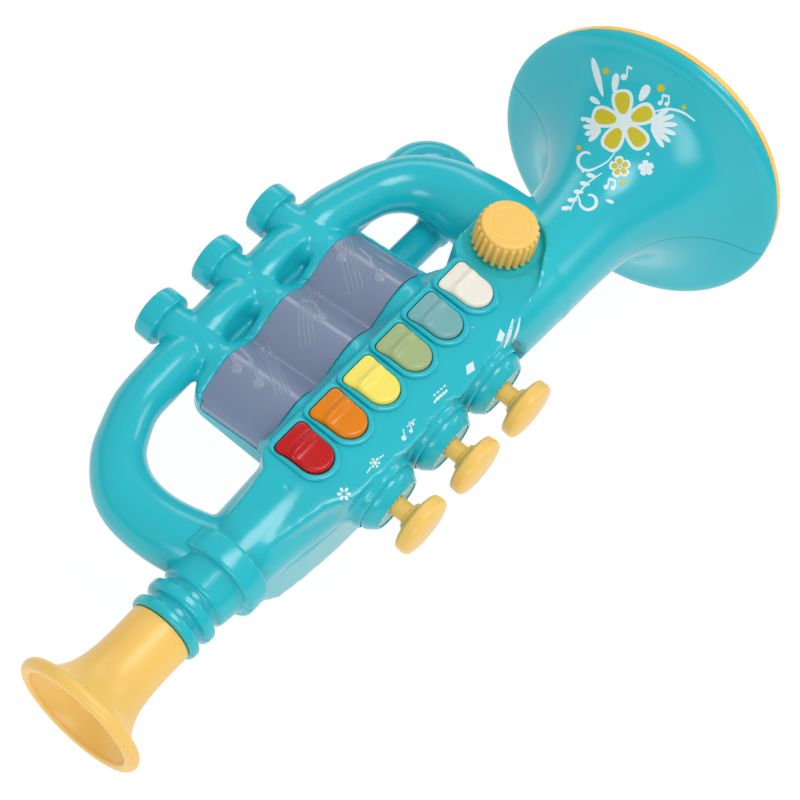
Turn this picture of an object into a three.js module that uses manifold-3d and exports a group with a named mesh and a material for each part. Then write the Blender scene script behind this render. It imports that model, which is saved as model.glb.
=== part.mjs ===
// Toy trumpet: a horn moulded in two halves, with six sliding keys, three piston buttons, a turning knob,
// a wavy light window, a battery box in its belly and a loudspeaker in its bell.
// Millimetres. X runs from the mouthpiece rim to the bell rim, Y from the piston buttons to the valve caps
// and Z out of the key face. Until the last lines X is zero at the mouthpiece rim, Y on the line of the
// horn and Z on the parting plane of the two halves.
import * as THREE from "three";
import { mergeVertices } from "three/addons/utils/BufferGeometryUtils.js";
import Module from "manifold-3d";

// Whole horn
const wall = 2.2;
const seamGap = 0.3;
const fitGap = 0.3;
const overrun = 1;
const leadAxisY = 2.3;
const bellAxisY = -4.85;

// Neck: two rings and a collar
const neckFrontX = 43.2;
const ringLength = 4.8;
const ringRadius = 14.5;
const grooveLength = 3.4;
const grooveRadius = 12;
const edgeRound = 1.1;
const bandRadius = 13.7;
const collarX = 69.3;
const collarLength = 10;
const collarRadius = 18.4;

// Body tube, from the collar to the bell
const bodyEndX = 262;
const bodyStartRadius = 14.8;
const bodyEndRadius = 21.6;
// Share of the way along, share of the shift in Y, share of the growth in radius
const bodyShares = [
  [0, 0, 0],
  [0.1, 0.04, 0.15],
  [0.21, 0.16, 0.41],
  [0.34, 0.31, 0.74],
  [0.48, 0.47, 0.91],
  [0.78, 0.82, 0.93],
  [1, 1, 1],
];

// Bell. Its rim plane leans a little: its share of lean along X for each step in Y and in Z
const bellThroatRadius = 21.4;
const bellThroatX = 256;
const bellRadius = 65.3;
const bellWall = 2.4;
const bellFrontX = 337;
const bellLeanYShare = -0.031;
const bellLeanZShare = 0.079;
// Share of the way from throat to rim face, share of the growth in radius
const flareShares = [
  [0, 0],
  [0.2, 0.012],
  [0.38, 0.035],
  [0.5, 0.07],
  [0.6, 0.13],
  [0.69, 0.21],
  [0.77, 0.315],
  [0.835, 0.44],
  [0.885, 0.57],
  [0.915, 0.69],
  [0.938, 0.815],
  [0.952, 0.905],
  [0.968, 0.965],
  [0.984, 1],
  [1, 1],
];
const bellRingWidth = 11;
const bellRingThickness = 2.9;
const bellRingRound = 1;

// Mouthpiece
const mouthRadius = 26.2;
const mouthLipRadius = 2.6;
const shankRadius = 12.7;
const spigotRadius = 9.6;
const spigotLength = 14;
const mouthBoreRadius = 7.6;
// Share of the length from rim to shank, share of the growth from shank to rim
const mouthOuterShares = [
  [0.14, 0.73],
  [0.22, 0.42],
  [0.35, 0.17],
  [0.52, 0.04],
  [0.72, 0],
  [1, 0.01],
];
// The same for the cup, measured from the bore
const mouthCupShares = [
  [1, 0.03],
  [0.7, 0.13],
  [0.49, 0.17],
  [0.33, 0.29],
  [0.21, 0.48],
  [0.12, 0.71],
  [0.045, 0.86],
];

// Key panel
const panelTopZ = 17.4;
const panelRampX = 113;
const panelDepth = 23;
const panelStartX = 79;
const panelStartZ = 12;
const panelBevel = 1.6;
// Outline round the panel: share of the length from panelStartX to the knob's far side, share of panelHalfWidth
const panelEndX = 269;
const panelHalfWidth = 21.5;
const panelShares = [
  [0, -0.28],
  [0.18, -0.65],
  [0.22, -0.84],
  [0.37, -0.95],
  [0.52, -1],
  [0.65, -0.92],
  [0.76, -0.77],
  [0.85, -0.62],
  [0.893, -0.43],
  [0.94, -0.19],
  [0.97, 0.08],
  [0.985, 0.45],
  [0.97, 0.85],
  [0.9, 1.15],
  [0.82, 1.1],
  [0.8, 0.93],
  [0.785, 0.8],
  [0.74, 0.88],
  [0.195, 0.88],
  [0.183, 0.87],
  [0.171, 0.8],
  [0.157, 0.65],
  [0, 0.5],
];

// Keys
const keyCount = 6;
const keyPitch = 19.46;
const firstKeyX = 123.6;
const keyEndRadius = 7;
const keyEndY = 2.6;
const keyTopY = 15.9;
const keyFlare = 7.9;
const keyShoulder = 5.2;
const keyTopZ = 20.6;
const keyRidgeZ = 22;
const keyRidgeY = 9.6;
const keyRidgeHalf = 2.6;
const keyBottomZ = 13;
const keyFlange = 1.2;
const keyFlangeThickness = 1.6;
const keyTravel = 1.2;
const keyWall = 1.8;
const keyPipRadius = 1.6;
const bezelTopZ = 19;
const bezelHalfWidth = 9.25;
const bezelEndY = 1.9;
const bezelTopY = 18.6;
const bezelCorner = 3;
const bezelBevel = 0.6;
const padThickness = 1;
const padDomeRadius = 3.4;
const padOverhang = 8;
const boardThickness = 1.6;
const boardStartX = 115.5;
const boardEndX = 258;
const boardLowY = -12;
const boardHighY = 14.5;

// Knob and its rotary switch
const knobX = 248.6;
const knobY = 9.1;
const knobRadius = 12;
const knobBaseRadius = 13;
const knobBottomZ = 16.6;
const knobTopZ = 30.1;
const knobRibs = 24;
const knobRibDepth = 1.1;
const knobTopRound = 1.5;
const knobRecessRadius = 16.4;
const knobRecessDepth = 1.1;
const spindleRadius = 3;
const spindleTopZ = 26;
const switchLength = 10.5;
const switchHeight = 4.6;

// Valves: pistons on one side, caps on the other
const valveCount = 3;
const valvePitch = 33.4;
const firstValveX = 137.9;
const stemRadius = 3.9;
const headRadius = 12.6;
const headInnerY = -34.1;
const headOuterY = -44.6;
const headCollarRadius = 5.4;
// Share of the head's thickness from its inner face, share of its radius
const headShares = [
  [0.08, 0.7],
  [0.26, 0.91],
  [0.5, 1],
  [0.76, 0.94],
  [0.93, 0.74],
  [0.985, 0.5],
];
const pistonTravel = 5.5;
const pistonRingRadius = 6;
const pistonRingThickness = 1.6;
const pistonTipLength = 1.2;
const stageRadius = 15.2;
const stageOuterY = -20.3;
const stageDepth = 9;
const pistonCollarRadius = 14.4;
const pistonCollarNeckRadius = 12.6;
const pistonCollarNeckLength = 1;
const pistonCollarBandLength = 3;
const pistonCollarFaceRadius = 11.4;
const pistonCollarFaceY = -28.6;
const collarFaceRecess = 0.6;
const collarFaceLip = 1;
const spigotWall = 4;
const pistonSpigotLength = 5.2;
const stubRadius = 8.5;
const capRadius = 11.1;
const capInnerY = 85.3;
const capOuterY = 94;
const capLeanShare = 0.027;
const capRound = 1.6;

// Loop handle: share of the loop's length along X and of its height, and share of its tube radius
const loopRadius = 10.8;
const loopY = 73;
const loopStartX = 70.8;
const loopEndX = 264.5;
const loopShares = [
  [0.07, -0.06, 1.16],
  [0.024, 0.19, 1.2],
  [0.004, 0.45, 1.14],
  [0.014, 0.645, 1.1],
  [0.06, 0.81, 0.96],
  [0.115, 0.895, 0.88],
  [0.165, 0.945, 0.86],
  [0.24, 0.965, 0.88],
  [0.42, 0.985, 0.93],
  [0.6, 1, 0.97],
  [0.7, 1.005, 1],
  [0.77, 0.99, 1],
  [0.83, 0.955, 1],
  [0.9, 0.9, 1.01],
  [0.96, 0.78, 1.14],
  [0.992, 0.61, 1.33],
  [1, 0.37, 1.57],
  [0.997, 0.03, 1.72],
];

// Window casing
const casingStartX = 119.5;
const casingEndX = 223.2;
const casingLowY = 14;
const casingHighY = 62.6;
const casingCornerRadius = 9;
const casingSmallCorner = 2;
const casingLeanShare = 0.055;
const stripTopY = 18.5;
const stripLowY = 25;
const stripLowZ = 9;
const casingDeepZ = -4;
const waveRefY = 25.5;
const waveValleyZ = 7.6;
const waveCrestZ = 12.8;
const waveSlope = 0.153;
const backValleyZ = 9.5;
const backCrestZ = 14.5;
const waveSteps = 6;
const windowLowY = 24.8;
const windowHighY = 57.6;
const windowSideWall = 1.7;
const coverSink = 0.6;
const coverThickness = 1.6;
const ledgeWidth = 1.4;
const ledgeThickness = 1.4;
const trayThickness = 1.2;
const trayRimHeight = 3;
const lampRadius = 2.5;
const lampHeight = 3.4;

// Rear tuning bow
const bowZ = -17;
const bowRadius = 7.1;
const bowSleeveRadius = 8.2;
const bowLegY = 42.5;
const bowBend = 14.2;
const bowStartX = 206;
const bowSleeveX = 254;
const bowBendX = 272.5;

// Battery box in the belly
const bellyStartX = 80;
const bellyEndX = 153;
const bellyHalfWidth = 18;
const bellyBottomZ = -33;
const bellyTopZ = -5;
const bellyRound = 3;
const bellyNoseShare = 0.17;
// Share of the belly's length, share of its half width
const bellyShares = [
  [0, 0.5],
  [0.06, 0.66],
  [0.17, 0.76],
  [0.34, 0.87],
  [0.55, 0.96],
  [0.78, 1],
  [0.96, 1],
  [1, 0.9],
];
const cellDiameter = 10.5;
const cellLength = 44.5;
const cellTipLength = 0.8;
const cellTipRadius = 1.9;
const cellSpacing = 10.9;
const cellStartX = 101.7;
const floorThickness = 2;
const doorThickness = 1.6;
const doorPadThickness = 1.6;
const doorLedge = 1.8;
const doorStartX = 92.5;
const doorScrewX = 96.2;
const doorHalfWidth = 12.6;
const contactThickness = 0.6;
const contactSpringLength = 2;
const contactSpringRadius = 2.6;
const screwRadius = 1.3;
const screwHeadRadius = 2.5;
const screwHeadHeight = 1.5;
const screwLength = 9;

// Loudspeaker and its grille: its shelf's share of the way from the bell's throat to the rim
const speakerShelfShare = 0.3085;
const speakerShelfThickness = 4;
const speakerRadius = 18.2;
const speakerFlange = 1.6;
const speakerDepth = 13;
const magnetRadius = 10;
const magnetDepth = 6;
const speakerCavityRadius = 19.2;
const speakerBoreRadius = 15.6;
const coneDepth = 4;
const grilleThickness = 2;
const grilleHoleRadius = 2.6;
const grilleRings = 3;
const grilleRingPitch = 6.8;

// Posts that carry the main board
const postRadius = 2.8;
const postY = 7.4;

// Facets
const bellSides = 32;
const tubeSides = 18;
const loopSides = 12;
const smallSides = 16;
const curveSteps = 3;
const mergeTolerance = 0.05;

const wasm = await Module();
wasm.setup();

// A closed geometry as a solid. A profile drawn the other way round is turned to face out.
function toSolid(geometry) {
  const bare = geometry.clone();
  for (const name of Object.keys(bare.attributes)) {
    if (name !== "position") bare.deleteAttribute(name);
  }
  const merged = mergeVertices(bare);
  const triangles = [];
  for (let i = 0; i < merged.index.count; i += 3) {
    const [a, b, c] = merged.index.array.slice(i, i + 3);
    if (a !== b && b !== c && c !== a) triangles.push([a, b, c]);
  }
  const build = (order) =>
    new wasm.Manifold(
      new wasm.Mesh({
        numProp: 3,
        vertProperties: merged.attributes.position.array,
        triVerts: new Uint32Array(order.flat()),
      }),
    );
  const solid = build(triangles);
  return solid.volume() < 0 ? build(triangles.map(([a, b, c]) => [a, c, b])) : solid;
}

function toGeometry(solid) {
  const mesh = solid.getMesh();
  const geometry = new THREE.BufferGeometry();
  geometry.setAttribute("position", new THREE.BufferAttribute(new Float32Array(mesh.vertProperties), 3));
  geometry.setIndex(new THREE.BufferAttribute(new Uint32Array(mesh.triVerts), 1));
  geometry.computeVertexNormals();
  return geometry;
}

function join(solids) {
  return solids.reduce((whole, solid) => whole.add(solid));
}

function cut(solid, cutters) {
  return cutters.reduce((rest, cutter) => rest.subtract(cutter), solid);
}

// A profile of [along, radius] pairs turned about a line parallel to the named axis.
function turned(profile, axis, sides, x = 0, y = 0, z = 0) {
  const points = profile.map(([along, radius]) => new THREE.Vector2(radius, along));
  const geometry = new THREE.LatheGeometry(points, sides);
  if (axis === "x") geometry.rotateZ(-Math.PI / 2);
  if (axis === "z") geometry.rotateX(Math.PI / 2);
  geometry.translate(x, y, z);
  return toSolid(geometry);
}

function rod(low, high, radius, axis, sides, x = 0, y = 0, z = 0) {
  return turned([[low, 0], [low, radius], [high, radius], [high, 0]], axis, sides, x, y, z);
}

function block(lowX, highX, lowY, highY, lowZ, highZ) {
  const geometry = new THREE.BoxGeometry(highX - lowX, highY - lowY, highZ - lowZ);
  geometry.translate((lowX + highX) / 2, (lowY + highY) / 2, (lowZ + highZ) / 2);
  return toSolid(geometry);
}

// An outline in X and Y raised from one height to another, with its edges rounded by the bevel.
function prism(shape, lowZ, highZ, bevel = 0) {
  const geometry = new THREE.ExtrudeGeometry(shape, {
    depth: highZ - lowZ - 2 * bevel,
    bevelEnabled: bevel > 0,
    bevelSize: bevel,
    bevelThickness: bevel,
    bevelOffset: -bevel,
    bevelSegments: 1,
    curveSegments: curveSteps,
  });
  geometry.translate(0, 0, lowZ + bevel);
  return geometry;
}

// An outline in X and Z carried along Y.
function sideways(outline, lowY, highY, bevel = 0) {
  return prism(polygon(outline), -highY, -lowY, bevel).rotateX(Math.PI / 2);
}

// An outline in Y and Z carried along X.
function lengthways(outline, lowX, highX) {
  const turn = new THREE.Matrix4().makeBasis(
    new THREE.Vector3(0, 1, 0),
    new THREE.Vector3(0, 0, 1),
    new THREE.Vector3(1, 0, 0),
  );
  return toSolid(prism(polygon(outline), lowX, highX).applyMatrix4(turn));
}

function polygon(points) {
  return new THREE.Shape(points.map(([x, y]) => new THREE.Vector2(x, y)));
}

// Rings of equal counts of points joined into one closed skin, with a fan over each end.
function loft(rings) {
  const sides = rings[0].length;
  const positions = rings.flat().flatMap((point) => point.toArray());
  const index = [];
  for (let i = 0; i + 1 < rings.length; i++) {
    for (let j = 0; j < sides; j++) {
      const a = i * sides + j;
      const b = i * sides + ((j + 1) % sides);
      index.push(a, b, b + sides, a, b + sides, a + sides);
    }
  }
  for (const end of [0, rings.length - 1]) {
    const middle = new THREE.Vector3();
    rings[end].forEach((point) => middle.addScaledVector(point, 1 / sides));
    const hub = positions.length / 3;
    positions.push(...middle.toArray());
    for (let j = 0; j < sides; j++) {
      const pair = [end * sides + j, end * sides + ((j + 1) % sides)];
      if (end > 0) pair.reverse();
      index.push(pair[1], pair[0], hub);
    }
  }
  const geometry = new THREE.BufferGeometry();
  geometry.setAttribute("position", new THREE.Float32BufferAttribute(positions, 3));
  geometry.setIndex(index);
  return toSolid(geometry);
}

// A tube through stations of [x, y, radius], its circles square to the path, at one height.
function tube(stations, steps, sides, inset = 0, z = 0) {
  const path = new THREE.CatmullRomCurve3(stations.map(([x, y, r]) => new THREE.Vector3(x, y, r)));
  const rings = [];
  for (let i = 0; i <= steps; i++) {
    const at = path.getPoint(i / steps);
    const along = path.getTangent(i / steps).setZ(0).normalize();
    const radius = at.z - inset;
    const ring = [];
    for (let j = 0; j < sides; j++) {
      const turn = (j / sides) * 2 * Math.PI;
      const across = Math.cos(turn) * radius;
      ring.push(new THREE.Vector3(at.x - along.y * across, at.y + along.x * across, z + Math.sin(turn) * radius));
    }
    rings.push(ring);
  }
  return loft(rings);
}

function valveX(i) {
  return firstValveX + i * valvePitch;
}

function keyX(i) {
  return firstKeyX + i * keyPitch;
}

const valves = Array.from({ length: valveCount }, (_, i) => valveX(i));
const keys = Array.from({ length: keyCount }, (_, i) => keyX(i));

// Neck
const collarEndX = collarX + collarLength;
const ringStarts = [neckFrontX, neckFrontX + ringLength + grooveLength];
const neckProfile = [[neckFrontX, 0]];
for (const start of ringStarts) {
  neckProfile.push(
    [start, ringRadius - edgeRound],
    [start + edgeRound, ringRadius],
    [start + ringLength - edgeRound, ringRadius],
    [start + ringLength, ringRadius - edgeRound],
    [start + ringLength, grooveRadius],
    [start + ringLength + grooveLength * 0.7, grooveRadius],
  );
}
neckProfile.push(
  [ringStarts[1] + ringLength + grooveLength * 0.7, bandRadius - edgeRound],
  [ringStarts[1] + ringLength + grooveLength, bandRadius],
  [collarX, bodyStartRadius],
  [collarX, collarRadius - edgeRound],
  [collarX + edgeRound, collarRadius],
  [collarEndX - edgeRound, collarRadius],
  [collarEndX, collarRadius - edgeRound],
  [collarEndX, 0],
);
const neck = turned(neckProfile, "x", tubeSides, 0, leadAxisY);

// Body tube
const bodyStartX = collarX + collarLength / 2;
const bodyStations = bodyShares.map(([along, shift, growth]) => [
  bodyStartX + along * (bodyEndX - bodyStartX),
  leadAxisY + shift * (bellAxisY - leadAxisY),
  bodyStartRadius + growth * (bodyEndRadius - bodyStartRadius),
]);
const bodySteps = 12;
const bodyTube = tube(bodyStations, bodySteps, tubeSides);

// Bell, turned straight and then leaned
const bellLean = new THREE.Matrix4();
bellLean.elements[4] = bellLeanYShare;
bellLean.elements[8] = bellLeanZShare;
bellLean.elements[12] = -bellLeanYShare * bellAxisY;
const rimFaceX = bellFrontX - bellRingThickness - fitGap;
const speakerShelfX = bellThroatX + speakerShelfShare * (rimFaceX - bellThroatX);
const flare = flareShares.map(([along, growth]) => [
  bellThroatX + along * (rimFaceX - bellThroatX),
  bellThroatRadius + growth * (bellRadius - bellThroatRadius),
]);
function bellTurned(profile) {
  return turned(profile, "x", bellSides, 0, bellAxisY).transform(bellLean.elements);
}
const bell = bellTurned([[bellThroatX, 0], ...flare, [rimFaceX, 0]]);

// Panel block under the keys and the knob: its plan outline cut to its side view
function panelPlan(inset) {
  return polygon(
    panelShares.map(([along, across]) => [
      panelStartX + inset + along * (panelEndX - panelStartX - 2 * inset),
      across * panelHalfWidth - Math.sign(across) * inset,
    ]),
  );
}
function panelBlock(inset, bevel) {
  const top = panelTopZ - inset;
  const plan = prism(panelPlan(inset), panelTopZ - panelDepth, top, bevel);
  const side = sideways(
    [
      [panelStartX, panelTopZ - panelDepth],
      [panelEndX, panelTopZ - panelDepth],
      [panelEndX, top],
      [panelRampX, top],
      [panelStartX, panelStartZ - inset],
    ],
    -panelHalfWidth - overrun,
    2 * panelHalfWidth,
  );
  return toSolid(plan).intersect(toSolid(side));
}
const overPanel = toSolid(prism(panelPlan(0), panelTopZ, 2 * panelTopZ));
const underPanel = toSolid(prism(panelPlan(-wall), panelTopZ - wall, 2 * panelTopZ));

// Bezels: a raised D-shaped frame for each key
function bezelShape(x) {
  const shape = new THREE.Shape();
  shape.absarc(x, bezelEndY, bezelHalfWidth, Math.PI, 2 * Math.PI);
  shape.lineTo(x + bezelHalfWidth, bezelTopY - bezelCorner);
  shape.quadraticCurveTo(x + bezelHalfWidth, bezelTopY, x + bezelHalfWidth - bezelCorner, bezelTopY);
  shape.lineTo(x - bezelHalfWidth + bezelCorner, bezelTopY);
  shape.quadraticCurveTo(x - bezelHalfWidth, bezelTopY, x - bezelHalfWidth, bezelTopY - bezelCorner);
  return shape;
}
const bezels = keys.map((x) => toSolid(prism(bezelShape(x), panelTopZ - wall, bezelTopZ, bezelBevel)));

// Window casing: waves over the valves in front, sloping away from the keys, and waves behind
function waveShare(x) {
  const low = valves[0] - valvePitch / 2;
  const high = valves[valveCount - 1] + valvePitch / 2;
  const held = Math.min(Math.max(x, low), high);
  return Math.abs(Math.cos(((held - valves[0]) / valvePitch) * Math.PI));
}

function wave(startX, endX, height) {
  const count = valveCount * waveSteps;
  const points = [];
  for (let i = 0; i <= count; i++) {
    const x = startX + (i / count) * (endX - startX);
    points.push([x, height(waveShare(x))]);
  }
  return points;
}

function frontWave(startX, endX, lowY, highY, sink, bottomZ) {
  const top = wave(startX, endX, (share) => waveValleyZ + share * (waveCrestZ - waveValleyZ) - sink);
  const geometry = sideways([[startX, bottomZ], [endX, bottomZ], ...top.reverse()], lowY, highY);
  const slope = new THREE.Matrix4();
  slope.elements[6] = -waveSlope;
  slope.elements[14] = waveSlope * waveRefY;
  return toSolid(geometry.applyMatrix4(slope));
}

function backWave(startX, endX, lowY, highY, sink, topZ) {
  const bottom = wave(startX, endX, (share) => sink - backValleyZ - share * (backCrestZ - backValleyZ));
  return toSolid(sideways([...bottom, [endX, topZ], [startX, topZ]], lowY, highY));
}

// Plan outline of the casing, the window and their hollows: the far corners rounded, the left one more
function casingPlan(inset, lowY, highY) {
  const startX = casingStartX + inset;
  const endX = casingEndX - inset;
  const corner = casingCornerRadius - inset;
  const shape = new THREE.Shape();
  shape.moveTo(startX, lowY);
  shape.lineTo(endX, lowY);
  shape.absarc(endX - casingSmallCorner, highY - casingSmallCorner, casingSmallCorner, 0, Math.PI / 2);
  shape.absarc(startX + corner, highY - corner, corner, Math.PI / 2, Math.PI);
  return toSolid(prism(shape, -panelTopZ, panelTopZ));
}

// The casing and all that sits in it lean about the middle valve: Y grows a little along X
const casingRefX = valves[1];
const casingLean = new THREE.Matrix4();
casingLean.elements[1] = casingLeanShare;
casingLean.elements[13] = -casingLeanShare * casingRefX;
function leaned(solid) {
  return solid.transform(casingLean.elements);
}

function casingBlock(grow) {
  const startX = casingStartX - grow;
  const endX = casingEndX + grow;
  const lowY = casingLowY - grow;
  const highY = casingHighY + grow;
  const waves = join([
    frontWave(startX, endX, lowY, highY, -grow, casingDeepZ),
    backWave(startX, endX, lowY, highY, -grow, -casingDeepZ / 2),
  ]);
  return leaned(waves.intersect(casingPlan(-grow, lowY, highY)));
}
const casing = casingBlock(0);

// Sloping strip from the panel down to the window
function strip(inset) {
  const low = [stripLowY - inset * 0.79, stripLowZ - inset * 0.61];
  const top = [stripTopY - inset * 0.79, panelTopZ - inset * 0.61];
  return lengthways(
    [[bezelEndY, 0], [low[0], 0], low, top, [top[0], panelTopZ - inset], [bezelEndY, panelTopZ - inset]],
    casingStartX + inset,
    casingEndX - inset,
  );
}

// Loop handle
const loopStations = loopShares.map(([along, height, girth]) => [
  loopStartX + along * (loopEndX - loopStartX),
  height * loopY,
  girth * loopRadius,
]);
const loopSteps = 26;
const loop = tube(loopStations, loopSteps, loopSides);

// Valve stubs and caps
const capProfile = [
  [loopY - stubRadius, 0],
  [loopY - stubRadius, stubRadius],
  [capInnerY, stubRadius],
  [capInnerY, capRadius],
  [capOuterY - capRound, capRadius],
  [capOuterY, capRadius - capRound],
  [capOuterY, 0],
];
const capShift = (x) => capLeanShare * (x - casingRefX);
const caps = valves.map((x) => turned(capProfile, "y", smallSides, x, capShift(x)));
const stubs = valves.map((x) => rod(casingHighY - 2 * wall, loopY, stubRadius, "y", smallSides, x));

// Stages that the piston collars sit on
const stages = valves.map((x) => rod(stageOuterY, stageOuterY + stageDepth, stageRadius, "y", tubeSides, x));

// Tuning bow behind the loop
const bowFarY = bowLegY + 2 * bowBend;
function bowStations(radius) {
  const stations = [[bowSleeveX, bowLegY, radius]];
  const bends = 5;
  for (let i = 0; i <= bends; i++) {
    const turn = (i / bends) * Math.PI - Math.PI / 2;
    stations.push([
      bowBendX + Math.cos(turn) * bowBend,
      bowLegY + bowBend + Math.sin(turn) * bowBend,
      radius,
    ]);
  }
  stations.push([bowSleeveX, bowFarY, radius]);
  return stations;
}
const bowSteps = 10;
const bowTubes = join([
  tube(bowStations(bowSleeveRadius), bowSteps, loopSides, 0, bowZ),
  ...[bowLegY, bowFarY].map((y) => rod(bowStartX, bowBendX, bowRadius, "x", loopSides, 0, y, bowZ)),
]);
// It lies in saddles on the casing's back and under the loop
const tuningBow = cut(bowTubes, [casingBlock(fitGap), tube(loopStations, loopSteps, loopSides, -fitGap)]);

// Battery box
const bellyLength = bellyEndX - bellyStartX;
function bellySolid(inset, bottomInset) {
  const half = bellyShares.map(([along, width]) => [
    bellyStartX + inset + along * (bellyLength - 2 * inset),
    width * bellyHalfWidth - inset,
  ]);
  const plan = [...half, ...half.map(([x, y]) => [x, -y]).reverse()];
  const bottom = bellyBottomZ + bottomInset;
  const noseX = bellyStartX + bellyNoseShare * bellyLength;
  const depth = bellyTopZ - bottom;
  const side = [
    [bellyStartX, bellyTopZ + overrun],
    [bellyStartX + inset, bellyTopZ - 0.3 * depth],
    [bellyStartX + inset + 0.35 * (noseX - bellyStartX), bellyTopZ - 0.72 * depth],
    [noseX, bottom],
    [bellyEndX - inset, bottom],
    [bellyEndX - inset, bellyTopZ + overrun],
  ];
  return toSolid(prism(polygon(plan), bottom, bellyTopZ, bellyRound - Math.min(inset, bellyRound / 2)))
    .intersect(toSolid(sideways(side, -bellyHalfWidth - overrun, bellyHalfWidth + overrun)));
}

const tubes = join([neck, bodyTube, bell, loop]).subtract(overPanel);
const outer = join([tubes, panelBlock(0, panelBevel), strip(0), casing, bellySolid(0, 0), ...bezels, ...stubs,
  ...caps, ...stages]);

// Hollows
const socketEndX = neckFrontX + spigotLength + overrun;
const socket = rod(neckFrontX - overrun, socketEndX, spigotRadius + fitGap, "x", tubeSides, 0, leadAxisY);
const throatBore = rod(socketEndX - overrun, bodyStartX + wall, spigotRadius, "x", tubeSides, 0, leadAxisY);
const bodyHollow = tube(bodyStations, bodySteps / 2, tubeSides - 4, wall);
const speakerHollow = rod(bodyEndX - overrun, speakerShelfX, speakerCavityRadius, "x", tubeSides, 0, bellAxisY);
const speakerBore = rod(
  speakerShelfX - overrun,
  speakerShelfX + speakerShelfThickness + overrun,
  speakerBoreRadius,
  "x",
  tubeSides,
  0,
  bellAxisY,
);
const shelfFrontX = speakerShelfX + speakerShelfThickness;
const innerFlare = flare
  .map(([x, radius], i) => {
    const growth = flareShares[i][1];
    return [x + bellWall * growth, radius - bellWall * (1 - growth * 0.6)];
  })
  .filter(([x, radius]) => x > shelfFrontX && x < rimFaceX && radius < bellRadius - bellWall * 2);
const cupRadius = innerFlare[0][1] - bellWall / 4;
const bellHollow = bellTurned([
  [shelfFrontX, 0],
  [shelfFrontX, cupRadius],
  ...innerFlare,
  [rimFaceX, bellRadius - bellWall],
  [bellFrontX, bellRadius - bellWall],
  [bellFrontX, 0],
]);
const frameDepth = coverSink + coverThickness + fitGap + ledgeThickness;
const casingHollow = leaned(
  join([
    frontWave(casingStartX, casingEndX, casingLowY - wall, casingHighY - wall, frameDepth, casingDeepZ),
    backWave(casingStartX, casingEndX, casingLowY - wall, casingHighY - wall, wall, -casingDeepZ / 2),
  ]).intersect(casingPlan(wall, casingLowY - wall, casingHighY - wall)),
);
const loopHollow = tube(loopStations, loopSteps / 2 + 3, loopSides - 4, wall);
const stubHollows = valves.map((x) =>
  rod(casingHighY - 3 * wall, capOuterY - 2 * wall, stubRadius - wall, "y", loopSides - 4, x),
);
const bellyHollow = bellySolid(wall, wall + doorPadThickness);
const hollow = join([join([bodyHollow, speakerHollow, loopHollow]).subtract(underPanel), throatBore,
  panelBlock(wall, 0), strip(wall), casingHollow, bellyHollow, ...stubHollows]);

// Floor between the cells and the horn, solid ends of the battery box, and posts for the main board
const cellBottomZ = bellyBottomZ + doorThickness + doorPadThickness + 2 * fitGap;
const cellAxisZ = cellBottomZ + cellDiameter / 2;
const floorLowZ = cellBottomZ + cellDiameter + fitGap;
const floorHighZ = floorLowZ + floorThickness;
const bayStartX = cellStartX - contactThickness - 2 * fitGap;
const bayEndX = cellStartX + cellLength + cellTipLength + contactSpringLength + contactThickness + 2 * fitGap;
const bayHalfWidth = (cellSpacing + cellDiameter) / 2 + fitGap;
const padTopZ = keyBottomZ - keyTravel - fitGap;
const boardTopZ = padTopZ - padThickness - 2 * fitGap - keyTravel;
const boardBottomZ = boardTopZ - boardThickness;
const postXs = [valves[0] - valvePitch / 2, valves[0] + valvePitch / 2, valves[1] + valvePitch / 2, knobX];
const bayWalls = block(
  bellyStartX,
  bellyEndX,
  -bellyHalfWidth,
  bellyHalfWidth,
  bellyBottomZ,
  floorHighZ,
).subtract(block(bayStartX, bayEndX, -bayHalfWidth, bayHalfWidth, bellyBottomZ - overrun, floorLowZ));
const posts = postXs.map((x) =>
  rod(floorHighZ - floorThickness / 2, boardBottomZ - fitGap, postRadius, "z", smallSides / 2, x, postY),
);
const boardPosts = join(posts).intersect(outer);

// Openings in the skin
function keyShape(grow) {
  const end = keyEndRadius + grow;
  const flare = keyFlare + grow;
  const top = keyTopY + grow;
  const shape = new THREE.Shape();
  shape.absarc(0, keyEndY, end, Math.PI, 2 * Math.PI);
  shape.bezierCurveTo(end, keyRidgeY - keyRidgeHalf, end, keyRidgeY, flare, (keyRidgeY + keyTopY) / 2);
  shape.quadraticCurveTo(flare + grow / 2, top, keyShoulder, top);
  shape.lineTo(-keyShoulder, top);
  shape.quadraticCurveTo(-flare - grow / 2, top, -flare, (keyRidgeY + keyTopY) / 2);
  shape.bezierCurveTo(-end, keyRidgeY, -end, keyRidgeY - keyRidgeHalf, -end, keyEndY);
  return shape;
}
const keyHoles = keys.map((x) =>
  toSolid(prism(keyShape(fitGap), keyBottomZ, keyRidgeZ).translate(x, 0, 0)),
);
const flangeRooms = keys.map((x) =>
  toSolid(prism(keyShape(keyFlange + fitGap), 0, panelTopZ - wall).translate(x, 0, 0)),
);
const coverLow = coverSink + coverThickness;
function windowBlock(inset, lowZ) {
  const plan = casingPlan(windowSideWall + inset, windowLowY + inset, windowHighY - inset);
  return plan.intersect(block(casingStartX, casingEndX, windowLowY, windowHighY, lowZ, panelTopZ));
}
function windowWave(sink) {
  return frontWave(
    casingStartX - overrun,
    casingEndX + overrun,
    windowLowY - overrun,
    windowHighY + overrun,
    sink,
    -panelTopZ,
  );
}
const windowCut = leaned(windowBlock(0, -overrun).subtract(windowWave(coverLow + fitGap)));
const windowHole = leaned(windowBlock(ledgeWidth, -overrun));
const knobRecess = rod(
  panelTopZ - knobRecessDepth,
  knobTopZ,
  knobRecessRadius,
  "z",
  tubeSides,
  knobX,
  knobY,
);
const spindleHole = rod(0, panelTopZ, spindleRadius + fitGap, "z", smallSides, knobX, knobY);
const pistonSpigotRadius = stemRadius + spigotWall;
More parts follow.
